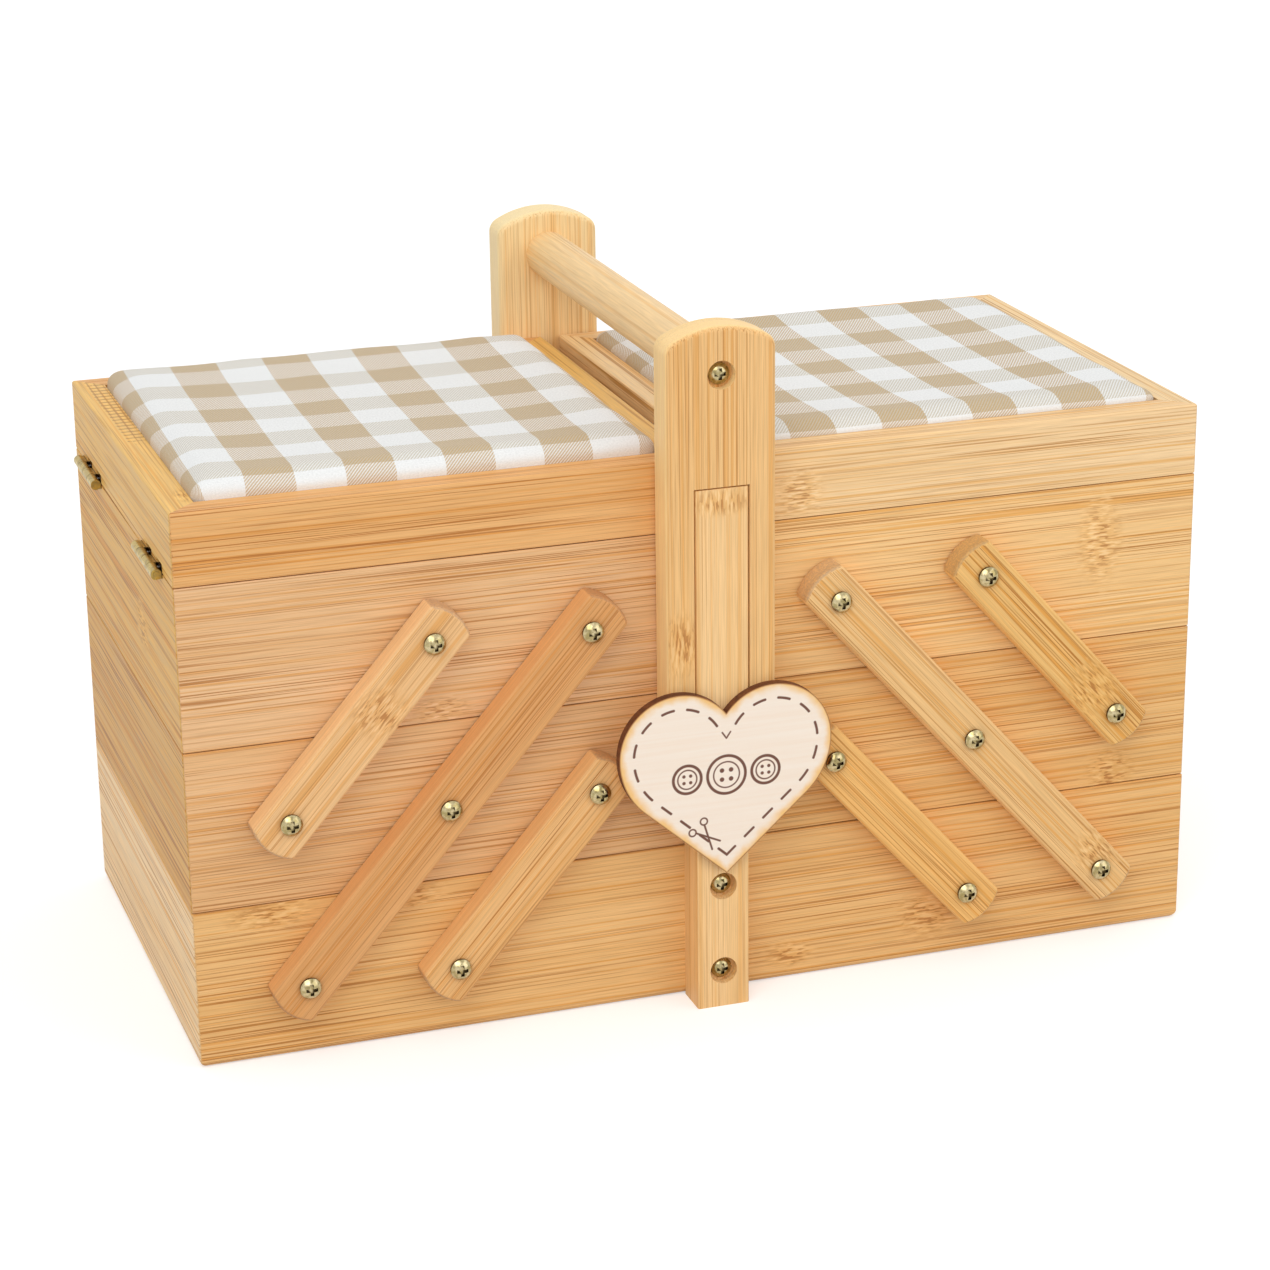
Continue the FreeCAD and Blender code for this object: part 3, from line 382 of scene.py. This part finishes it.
# Drawn brass with a thin tarnish, for the small hinges: greyish gold, a little dull, with painted shade
# in its hollows and in a band where it enters the wood.
brass = plated("tarnished_brass", "C6AC5C", "A8925A", "54381A", 0.24, HINGE_ENTRY)
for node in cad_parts:
    if node.endswith("_pivot_screws") or node in ("handle_strip_screws", "handle_dowel_screws"):
        dress(node, zinc)
    elif "hinge" in node:
        dress(node, brass)

# Birch plywood heart
# Cut from 3 mm birch plywood with a laser. The cut faces are burnt dark brown, the face beside them is
# toasted orange and fades to pale birch within 3 mm, and the same laser draws the brown stitch line and
# the small marks.
LOBE_X, LOBE_RADIUS = 14.9, 18.6
BEND_X, BEND_RADIUS = 10.3, 23.2
ROUND_Z, NOTCH_Z = 85.3, 96.43
SIDE_NORMAL = (0.6629, -0.7488)
SIDE_DOWN = (-0.7488, -0.6629)
STITCH_INSET, STITCH_WIDE, STITCH_PITCH, STITCH_LONG = 4.5, 0.8, 7.9, 4.5
STITCH_START, STITCH_STOP = 0.6, 83.0
# Length of the stitch line from its lowest point to the end of the straight side, and to the widest
# point
SIDE_RUN, BEND_RUN = 30.31, 46.13
# Height of the row of buttons, the distance of each from the middle and its radius
BUTTON_Z = 77
BUTTONS = ((0, 6.0), (12.4, 4.4))
BUTTON_RIM_SHARE, BUTTON_HOLE_SHARE = 0.68, 0.24
BUTTON_STROKE, BUTTON_RIM_STROKE = 0.9, 0.45
SCISSOR_RING, SCISSOR_RING_STROKE, SCISSOR_BLADE_STROKE = 1.1, 0.5, 0.6
SCISSOR_RINGS = ((-7.25, 62.9), (-10.85, 59.7))
SCISSOR_BLADES = (((-7.1, 61.8), (-4.65, 53.6)), ((-9.8, 59.5), (-2.15, 56.0)))
CHEVRON, CHEVRON_STROKE = ((0, 88.6), (1.3, 90.5)), 0.5
# A stroke fades out from this far inside its edge to this far outside
STROKE_BLUR = (-0.1, 0.12)
BURNT_MARK = "6E4636"
# Length of the birch figure in x, y and z, and its two tones
BIRCH_FIGURE = (40, 3, 1.1)
BIRCH_RANGE = (0.3, 0.7)
BIRCH_TONES = ("FBE9D6", "FDEFDF")
BIRCH_ROUGHNESS = (0.58, 0.7)
SMOKE_SCALE, SMOKE_RANGE, SMOKE_SWAY = 0.22, (0.3, 0.7), (-0.7, 0.7)
TOAST, TOAST_FADE, MOST_TOAST_SHARE = "F8C678", (0, 3.0), 0.95
SCORCH, SCORCH_FADE, MOST_SCORCH_SHARE = "9A5E2C", (0.1, 0.5), 0.9
# Cut faces are those that face little along y
CUT_FADE = (0.35, 0.75)
CHAR_TONES = ("76401C", "542A10")
BURN_STRENGTH, BURN_DEPTH = 0.25, 0.1


def birch_heart():
    """Laser-cut birch heart. Each point of the face gets its distance from the edge: to the lobe's
    arc above the widest point, to the wider bend or the straight side below it, or to the notch. The
    toasted rim and the stitch line are bands of that distance, and the dashes repeat along the
    line's own length, mirrored about the middle. Buttons, scissors and a small chevron are strokes
    about circles and straight runs."""
    material, tree, shader = new_material("laser_cut_birch_plywood")
    coordinates = add(tree, "TexCoord")
    spot = in_millimetres(tree, coordinates)
    parts = add(tree, "SeparateXYZ", spot)
    x, z = parts.outputs["X"], parts.outputs["Z"]
    half = add(tree, "Math", x, operation="ABSOLUTE")
    whole = add(tree, "CombineXYZ", x, z, 0)
    flat = add(tree, "CombineXYZ", half, z, 0)
    lower = add(tree, "Math", z, ROUND_Z, operation="LESS_THAN")
    centre = add(tree, "Mix", lower, (LOBE_X, ROUND_Z, 0), (BEND_X, ROUND_Z, 0), data_type="VECTOR")
    radius = add(tree, "Mix", lower, LOBE_RADIUS, BEND_RADIUS)
    rel = add(tree, "VectorMath", flat, centre, operation="SUBTRACT")
    down = add(tree, "VectorMath", rel, (*SIDE_DOWN, 0), operation="DOT_PRODUCT")
    out = add(tree, "VectorMath", rel, (*SIDE_NORMAL, 0), operation="DOT_PRODUCT")
    round_out = add(tree, "VectorMath", rel, operation="LENGTH")
    straight = add(tree, "Math", down, 0, operation="GREATER_THAN")
    straight = add(tree, "Math", straight, lower, operation="MULTIPLY")
    reach = add(tree, "Mix", straight, round_out, out)
    edge = add(tree, "Math", radius, reach, operation="SUBTRACT")
    to_notch = add(tree, "VectorMath", flat, (0, NOTCH_Z, 0), operation="DISTANCE")

    offset = add(tree, "SeparateXYZ", rel)
    angle = add(tree, "Math", offset.outputs["Y"], offset.outputs["X"], operation="ARCTAN2")
    inset_radius = add(tree, "Math", radius, STITCH_INSET, operation="SUBTRACT")
    arc = add(tree, "Math", angle, inset_radius, BEND_RUN, operation="MULTIPLY_ADD")
    line = add(tree, "Math", SIDE_RUN, down, operation="SUBTRACT")
    run = add(tree, "Mix", straight, arc, line)
    lobe_run = (LOBE_RADIUS - STITCH_INSET) * math.atan2(NOTCH_Z - ROUND_Z, -LOBE_X)
    past = add(tree, "Math", run, BEND_RUN + lobe_run, operation="GREATER_THAN")
    rim = add(tree, "Mix", past, edge, to_notch)

    grain = add(tree, "VectorMath", spot, [1 / length for length in BIRCH_FIGURE], operation="MULTIPLY")
    grain = add(tree, "TexNoise", grain, 1, 3).outputs["Fac"]
    figure = add(tree, "MapRange", grain, *BIRCH_RANGE, 0, 1)
    tone = add(tree, "Mix", figure, *map(linear, BIRCH_TONES), data_type="RGBA")
    smoke = add(tree, "TexNoise", spot, SMOKE_SCALE, 2).outputs["Fac"]
    smoke = add(tree, "MapRange", smoke, *SMOKE_RANGE, *SMOKE_SWAY)
    toasted = add(tree, "Math", rim, smoke, operation="ADD")
    toast = add(tree, "MapRange", toasted, *TOAST_FADE, MOST_TOAST_SHARE, 0, interpolation_type="SMOOTHSTEP")
    tone = add(tree, "Mix", toast, tone, linear(TOAST), data_type="RGBA")
    scorch = add(tree, "MapRange", rim, *SCORCH_FADE, MOST_SCORCH_SHARE, 0)
    tone = add(tree, "Mix", scorch, tone, linear(SCORCH), data_type="RGBA")

    dash = add(tree, "Math", run, STITCH_START, operation="ADD")
    dash = add(tree, "Math", dash, STITCH_PITCH, operation="FLOORED_MODULO")
    dash = add(tree, "Math", dash, STITCH_LONG / 2, operation="SUBTRACT")
    dash = add(tree, "Math", dash, operation="ABSOLUTE")
    dash = add(tree, "Math", dash, (STITCH_LONG - STITCH_WIDE) / 2, operation="SUBTRACT")
    dash = add(tree, "Math", dash, 0, operation="MAXIMUM")
    aside = add(tree, "Math", edge, STITCH_INSET, operation="SUBTRACT")
    dash = add(tree, "VectorMath", add(tree, "CombineXYZ", dash, aside, 0), operation="LENGTH")
    ended = add(tree, "Math", run, STITCH_STOP, operation="GREATER_THAN")
    strokes = [(add(tree, "Math", dash, ended, operation="ADD"), STITCH_WIDE)]

    def ring(point, middle, size):
        """How far a point is from a circle's line."""
        away = add(tree, "VectorMath", point, (*middle, 0), operation="DISTANCE")
        away = add(tree, "Math", away, size, operation="SUBTRACT")
        return add(tree, "Math", away, operation="ABSOLUTE")

    def bar(point, start, stop):
        """How far a point is from a straight run between two ends."""
        step = np.subtract(stop, start)
        from_start = add(tree, "VectorMath", point, (*start, 0), operation="SUBTRACT")
        ruler = (*(step / (step @ step)).tolist(), 0)
        share = add(tree, "VectorMath", from_start, ruler, operation="DOT_PRODUCT")
        share = add(tree, "MapRange", share, 0, 1, 0, 1)
        nearest = add(tree, "VectorMath", (*step.tolist(), 0), into={"Scale": share}, operation="SCALE")
        return add(tree, "VectorMath", from_start, nearest, operation="DISTANCE")

    for place, size in BUTTONS:
        strokes.append((ring(flat, (place, BUTTON_Z), size), BUTTON_STROKE))
        strokes.append((ring(flat, (place, BUTTON_Z), size * BUTTON_RIM_SHARE), BUTTON_RIM_STROKE))
        centred = add(tree, "VectorMath", flat, (place, BUTTON_Z, 0), operation="SUBTRACT")
        centred = add(tree, "VectorMath", centred, operation="ABSOLUTE")
        hole = size * BUTTON_HOLE_SHARE
        strokes.append((add(tree, "VectorMath", centred, (hole, hole, 0), operation="DISTANCE"), hole))
    for middle in SCISSOR_RINGS:
        strokes.append((ring(whole, middle, SCISSOR_RING), SCISSOR_RING_STROKE))
    for ends in SCISSOR_BLADES:
        strokes.append((bar(whole, *ends), SCISSOR_BLADE_STROKE))
    strokes.append((bar(flat, *CHEVRON), CHEVRON_STROKE))
    mark = None
    for away, wide in strokes:
        stroke = add(tree, "MapRange", away, *[wide / 2 + blur for blur in STROKE_BLUR], 1, 0)
        mark = stroke if mark is None else add(tree, "Math", mark, stroke, operation="MAXIMUM")
    tone = add(tree, "Mix", mark, tone, linear(BURNT_MARK), data_type="RGBA")

    facing = add(tree, "SeparateXYZ", coordinates.outputs["Normal"]).outputs["Y"]
    facing = add(tree, "Math", facing, operation="ABSOLUTE")
    burnt = add(tree, "MapRange", facing, *CUT_FADE, 1, 0)
    char = add(tree, "Mix", figure, *map(linear, CHAR_TONES), data_type="RGBA")
    tone = add(tree, "Mix", burnt, tone, char, data_type="RGBA")
    dull = add(tree, "MapRange", grain, *BIRCH_RANGE, *BIRCH_ROUGHNESS)
    height = add(tree, "Math", grain, mark, operation="SUBTRACT")
    relief = bump(tree, BURN_STRENGTH, BURN_DEPTH, height)
    wire(tree, shader, tone, dull, relief)
    return material


dress("heart_tag", birch_heart())

# Gingham cotton
# Woven in a twill from white and beige yarn in bands of equal width, so that the checks come in white,
# beige and two half tones: one where a beige warp crosses white weft, one where it is the other way
# round. The yarn is 0.2 mm thick in the warp and 0.3 mm in the weft, and is drawn coarser so that the
# twill's fine diagonal shows.
CHECK = 14.8
WARP, WEFT = 0.25, 0.4
WHITE_YARN, WARP_BEIGE, WEFT_BEIGE = "F3F4F3", "C8A774", "CEC4B0"
# Yarns in one repeat of the twill, and how far the yarn on top hides the one below
TWILL = 4
TWILL_SHARE = 0.7
# Painted shade: a yarn darkens from this far off its middle line to its edge, in yarns, as shade in the
# hollows between yarns
YARN_RANGE, HOLLOW_SHARE = (0.2, 0.5), 0.86
HALF_YARN = 0.5
FUZZ_SCALE, FUZZ_RANGE, FUZZ_SHARES = 1.6, (0.3, 0.7), (0.92, 1.07)
WEAVE_STRENGTH, WEAVE_DEPTH = 0.35, 0.1
COTTON_ROUGHNESS = (0.8, 0.95)
COTTON_SPECULAR = 0.25
SHEEN_SHARE, SHEEN_ROUGHNESS = 0.15, 0.5


def gingham(name, first_column, first_row):
    """Gingham twill on the cloth's own coordinates. White bands of the warp start at first_column and
    of the weft at first_row. At each crossing the twill rule, column less row over four, says which
    yarn lies on top."""
    material, tree, shader = new_material(name)
    cloth = add(tree, "UVMap", uv_map="cloth")
    cloth = add(tree, "VectorMath", cloth, (1 / MM,) * 3, operation="MULTIPLY")
    parts = add(tree, "SeparateXYZ", cloth)
    beige = []
    count = []
    round_yarn = []
    yarns = (("X", first_column, WARP_BEIGE, WARP), ("Y", first_row, WEFT_BEIGE, WEFT))
    for socket, start, code, thick in yarns:
        band = add(tree, "Math", parts.outputs[socket], start, operation="SUBTRACT")
        band = add(tree, "Math", band, CHECK, operation="DIVIDE")
        band = add(tree, "Math", band, operation="FLOOR")
        band = add(tree, "Math", band, 2, operation="FLOORED_MODULO")
        beige.append(add(tree, "Mix", band, linear(WHITE_YARN), linear(code), data_type="RGBA"))
        yarn = add(tree, "Math", parts.outputs[socket], thick, operation="DIVIDE")
        count.append(add(tree, "Math", yarn, operation="FLOOR"))
        bulge = add(tree, "Math", yarn, operation="FRACT")
        bulge = add(tree, "Math", bulge, HALF_YARN, operation="SUBTRACT")
        round_yarn.append(add(tree, "Math", bulge, operation="ABSOLUTE"))
    crossing = add(tree, "Math", *count, operation="SUBTRACT")
    crossing = add(tree, "Math", crossing, TWILL, operation="FLOORED_MODULO")
    on_top = add(tree, "Math", crossing, TWILL / 2, operation="LESS_THAN")
    seen = add(tree, "MapRange", on_top, 0, 1, (1 - TWILL_SHARE) / 2, (1 + TWILL_SHARE) / 2)
    tone = add(tree, "Mix", seen, beige[1], beige[0], data_type="RGBA")
    hollow = add(tree, "Mix", on_top, round_yarn[1], round_yarn[0])
    # Painted shade in the hollows between yarns, then random fuzz in the cotton's tone.
    shade = add(tree, "MapRange", hollow, *YARN_RANGE, 1, HOLLOW_SHARE)
    fuzz = add(tree, "TexNoise", cloth, FUZZ_SCALE, 2).outputs["Fac"]
    fuzz = add(tree, "MapRange", fuzz, *FUZZ_RANGE, *FUZZ_SHARES)
    shade = add(tree, "Math", shade, fuzz, operation="MULTIPLY")
    tone = add(tree, "VectorMath", tone, shade, operation="MULTIPLY")
    relief = bump(tree, WEAVE_STRENGTH, WEAVE_DEPTH, shade)
    rough = add(tree, "MapRange", hollow, 0, HALF_YARN, *COTTON_ROUGHNESS)
    shader.inputs["Specular IOR Level"].default_value = COTTON_SPECULAR
    shader.inputs["Sheen Weight"].default_value = SHEEN_SHARE
    shader.inputs["Sheen Roughness"].default_value = SHEEN_ROUGHNESS
    wire(tree, shader, tone, rough, relief)
    return material


# Padded lid covers
# The roll at the edge of each cover and the flat shelf inside it
ROLL_WIDE = 5.2
ROLL_TALL = {"left": 4.4, "right": 3.2}
SHELF = 1.4
MARGIN = SHELF + ROLL_WIDE
# Power of the squarish curve round the corners
SQUARENESS = 4
# Distance between grid lines, and how many times closer they lie at the edge
STEP = 2.4
EDGE_FINER = 1.6
# How far each pad stays below its full height, and the lean of its cloth
LOWER = {"left": 0, "right": 2.0}
LEAN = {"left": 0.035, "right": 0}
# Depth of the dish, and the power with which it fades to the edge
DISH = 2.0
DISH_POWER = 4
# Height of the ripples in the cloth, the lengths over which they turn by one radian, and their starts
# in radians
RIPPLE = 0.35
RIPPLE_ACROSS, RIPPLE_ALONG, RIPPLE_SLANT = 17, 21, 9.5
RIPPLE_STARTS = (0.6, 1.9)
# Air pressure in the filling, the frames it acts for, and how far it may move the cloth
PRESSURE = 1.5
FRAMES = 20
CAP = 0.8
# How far the cloth reaches past the foam
SPREAD = 0.2
# How much more cloth than the surface itself is taken up where it turns down
GATHER_SHARE = 0.35
# Cloth lower than this is held between the rails
HELD_BELOW = LID_TOP + 0.6
# Where a white column and a white row of each cover begin
GINGHAM_STARTS = {"left": (-148.2, -65 - CHECK), "right": (133.2, -69 - CHECK)}
# The shortest length that anything is divided by
TINY = 1e-9


def pad_cover(side):
    """Padded cover as cloth drawn over a foam pad. The cloth's own plane has parameters a and b.
    Over the middle the cloth lies flat and dished. Beyond the margin, the distance past it runs
    along one profile: a short shelf, a quarter roll, then straight down to the foot. Corners turn
    the profile round on a squarish curve. A second grid, with the same rim, closes the pad below."""
    low, high = (np.array(corner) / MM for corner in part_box(side + "_lid_pad"))
    middle = (low + high) / 2
    inner = (high - low)[:2] / 2 + SPREAD - MARGIN
    top = high[2] - LOWER[side]
    foot = low[2]
    tall = ROLL_TALL[side]
    roll_length = (ROLL_WIDE + tall) / 2 * QUARTER
    drop = top - tall - foot
    border = SHELF + roll_length + drop
    lines = []
    for half in inner:
        edge_lines = np.linspace(0, border, int(border / STEP * EDGE_FINER) + 1)
        flat_lines = np.linspace(-half, half, int(2 * half / STEP) + 1)
        lines.append(np.concatenate((-half - edge_lines[:0:-1], flat_lines, half + edge_lines[1:])))
    a, b = np.meshgrid(*lines, indexing="ij")

    past = np.stack([np.maximum(np.abs(v) - half, 0) for v, half in zip((a, b), inner)])
    distance = past.max(axis=0)
    length = np.maximum((past ** SQUARENESS).sum(axis=0) ** (1 / SQUARENESS), TINY)
    aim = past / length * np.sign(np.stack((a, b)))
    held = np.stack([np.clip(v, -half, half) for v, half in zip((a, b), inner)])
    turn = np.clip((distance - SHELF) / roll_length, 0, 1) * QUARTER
    out = np.minimum(distance, SHELF) + ROLL_WIDE * np.sin(turn)
    fall = tall * (1 - np.cos(turn)) + np.maximum(distance - SHELF - roll_length, 0)
    near_edge = [np.clip(np.abs(v) / (half + SHELF), 0, 1) for v, half in zip((a, b), inner)]
    sag = np.prod([1 - share ** DISH_POWER for share in near_edge], axis=0)
    wave = np.sin(a / RIPPLE_ACROSS + RIPPLE_STARTS[0]) * np.sin(b / RIPPLE_ALONG + RIPPLE_STARTS[1])
    wave = np.abs(wave + np.sin((a + b) / RIPPLE_SLANT)) / 2 * (fall < tall)
    plan = held + aim * out
    upper = np.stack((*plan, top - fall - DISH * sag - RIPPLE * wave), axis=-1)
    lower_plan = held + aim * distance / border * MARGIN
    lower = np.stack((*lower_plan, np.full_like(a, foot)), axis=-1)

    rows, columns = a.shape
    upper_index = np.arange(rows * columns).reshape(rows, columns)
    lower_index = upper_index.copy()
    inside = (slice(1, -1), slice(1, -1))
    fresh = np.arange((rows - 2) * (columns - 2)).reshape(rows - 2, columns - 2)
    lower_index[inside] = rows * columns + fresh
    points = np.concatenate((upper.reshape(-1, 3), lower[inside].reshape(-1, 3)))
    points[:, :2] += middle[:2]
    faces = []
    for index, order in ((upper_index, (0, 1, 2, 3)), (lower_index, (3, 2, 1, 0))):
        ring = np.stack((index[:-1, :-1], index[1:, :-1], index[1:, 1:], index[:-1, 1:]), axis=-1)
        faces.append(ring[..., order].reshape(-1, 4))
    faces = np.concatenate(faces)
    mesh = bpy.data.meshes.new(side + "_pad_cover")
    mesh.from_pydata(points * MM, [], faces.tolist())
    across, along = (v + np.sign(v) * GATHER_SHARE * np.maximum(np.abs(v) - half - SHELF, 0)
                     for v, half in zip((a, b), inner))
    cloth = np.stack((across + middle[0] - LEAN[side] * b, along + middle[1]), axis=-1).reshape(-1, 2)
    cloth = np.concatenate((cloth, lower[inside][..., :2].reshape(-1, 2) + middle[:2]))
    corners = np.empty(len(mesh.loops), dtype=np.int32)
    mesh.loops.foreach_get("vertex_index", corners)
    mesh.uv_layers.new(name="cloth").uv.foreach_set("vector", (cloth[corners] * MM).ravel())
    mesh.shade_smooth()
    piece = bpy.data.objects.new(side + "_pad_cover", mesh)
    bpy.context.scene.collection.objects.link(piece)
    held_points = np.flatnonzero(points[:, 2] < HELD_BELOW)
    return piece, held_points.tolist()


def stuff(piece, held_points):
    """Lets the cloth take its own form: the lower part is held, air pressure fills it, and there is no
    gravity. A point moves no further than the cap, so the pad keeps its size and its dish."""
    mesh = piece.data
    start = np.empty(len(mesh.vertices) * 3)
    mesh.vertices.foreach_get("co", start)
    start = start.reshape(-1, 3)
    held = piece.vertex_groups.new(name="held")
    held.add(held_points, 1.0, "REPLACE")
    cloth = piece.modifiers.new("cloth", "CLOTH")
    cloth.settings.vertex_group_mass = held.name
    cloth.settings.use_pressure = True
    cloth.settings.uniform_pressure_force = PRESSURE
    cloth.settings.effector_weights.gravity = 0
    scene = bpy.context.scene
    for moment in range(1, FRAMES + 1):
        scene.frame_set(moment)
    settled = piece.evaluated_get(bpy.context.evaluated_depsgraph_get()).data
    end = np.empty_like(start)
    settled.vertices.foreach_get("co", end.ravel())
    piece.modifiers.remove(cloth)
    scene.frame_set(1)
    move = end - start
    far = np.linalg.norm(move, axis=1, keepdims=True)
    move *= np.minimum(1, CAP * MM / np.maximum(far, TINY))
    mesh.vertices.foreach_set("co", (start + move).ravel())
    mesh.update()


for side in SIDES:
    cover, held_points = pad_cover(side)
    stuff(cover, held_points)
    smooth = cover.modifiers.new("smooth", "SUBSURF")
    smooth.levels = 1
    smooth.render_levels = 1
    cover.data.materials.append(gingham("gingham_cotton_" + side, *GINGHAM_STARTS[side]))
    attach(cover, side + "_lid")
    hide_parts(side + "_lid_pad")

# Camera, at the photograph's place and angle
EYE = (-329.459, -994.314, 455.205)
AIM = (-30.198, -98.483, 126.677)
ROLL_TURN = math.radians(-0.7257)
SENSOR_WIDTH, LENS = 36, 98.069
forward = np.subtract(AIM, EYE)
forward = forward / np.linalg.norm(forward)
level = np.cross(forward, (0, 0, 1))
level = level / np.linalg.norm(level)
upright = np.cross(level, forward)
right = math.cos(ROLL_TURN) * level + math.sin(ROLL_TURN) * upright
up = np.cross(right, forward)
camera_data = bpy.data.cameras.new("camera")
camera_data.sensor_width = SENSOR_WIDTH
camera_data.lens = LENS
camera = bpy.data.objects.new("camera", camera_data)
pose = np.eye(4)
pose[:3, 0], pose[:3, 1], pose[:3, 2], pose[:3, 3] = right, up, -forward, np.array(EYE) * MM
camera.matrix_world = Matrix(pose.tolist())
bpy.context.scene.collection.objects.link(camera)
bpy.context.scene.camera = camera

# Floor, world and lamps
# Seamless white paper, matt and slightly grey, that glows whiter away from the box. Lengths are in
# metres.
FLOOR_HALF = 20.0
WHITE, PAPER = "FFFFFF", "E2E2E2"
PAPER_ROUGHNESS, PAPER_SPECULAR = 0.95, 0.1
GLOW_NEAR, GLOW_FAR = 0.42, 0.8
GLOW_START, GLOW_END = 0.5, 3.0
AMBIENT = 0.55


def seen_directly(tree):
    """One where the camera, a reflection or clear glass looks, zero where light only bounces."""
    path = add(tree, "LightPath")
    camera_ray, glossy_ray = path.outputs["Is Camera Ray"], path.outputs["Is Glossy Ray"]
    seen = add(tree, "Math", camera_ray, glossy_ray, operation="MAXIMUM")
    return add(tree, "Math", seen, path.outputs["Is Transmission Ray"], operation="MAXIMUM")


ground = bpy.data.meshes.new("floor")
corner_signs = np.array(((-1, -1, 0), (1, -1, 0), (1, 1, 0), (-1, 1, 0)))
ground.from_pydata(corner_signs * FLOOR_HALF, [], [(0, 1, 2, 3)])
floor = bpy.data.objects.new("floor", ground)
bpy.context.scene.collection.objects.link(floor)
paper, tree, shader = new_material("white_paper")
shader.inputs["Base Color"].default_value = linear(PAPER)
shader.inputs["Roughness"].default_value = PAPER_ROUGHNESS
shader.inputs["Specular IOR Level"].default_value = PAPER_SPECULAR
shader.inputs["Emission Color"].default_value = linear(WHITE)
reach = add(tree, "VectorMath", add(tree, "TexCoord").outputs["Object"], operation="LENGTH")
glow_range = (GLOW_START, GLOW_END, GLOW_NEAR, GLOW_FAR)
glow = add(tree, "MapRange", reach, *glow_range, interpolation_type="SMOOTHSTEP")
glow = add(tree, "Math", seen_directly(tree), glow, operation="MULTIPLY")
tree.links.new(glow.outputs[0], shader.inputs["Emission Strength"])
ground.materials.append(paper)

world = bpy.data.worlds.new("white_studio")
bpy.context.scene.world = world
world.use_nodes = True
sky = world.node_tree.nodes["Background"]
sky.inputs["Color"].default_value = linear(WHITE)
level_here = add(world.node_tree, "MapRange", seen_directly(world.node_tree), 0, 1, AMBIENT, 1)
world.node_tree.links.new(level_here.outputs[0], sky.inputs["Strength"])

# Lamp, place in metres, side of its square, and watts
LAMPS = (
    ("key", (-1.1, -1.7, 2.0), 1.8, 26),
    ("fill", (1.6, -1.6, 1.2), 1.8, 10.5),
    ("top", (0.2, 0.4, 2.6), 2.0, 12.5),
)
LAMP_AIM = (0, 0, 0.1)
for name, place, side_length, watts in LAMPS:
    lamp_data = bpy.data.lights.new(name, "AREA")
    lamp_data.size = side_length
    lamp_data.energy = watts
    lamp = bpy.data.objects.new(name, lamp_data)
    lamp.location = place
    aim = np.subtract(LAMP_AIM, place)
    tilt = math.atan2(math.hypot(aim[0], aim[1]), -aim[2])
    lamp.rotation_euler = (tilt, 0, math.atan2(aim[1], aim[0]) - QUARTER)
    bpy.context.scene.collection.objects.link(lamp)

bpy.context.scene.view_settings.view_transform = "Standard"
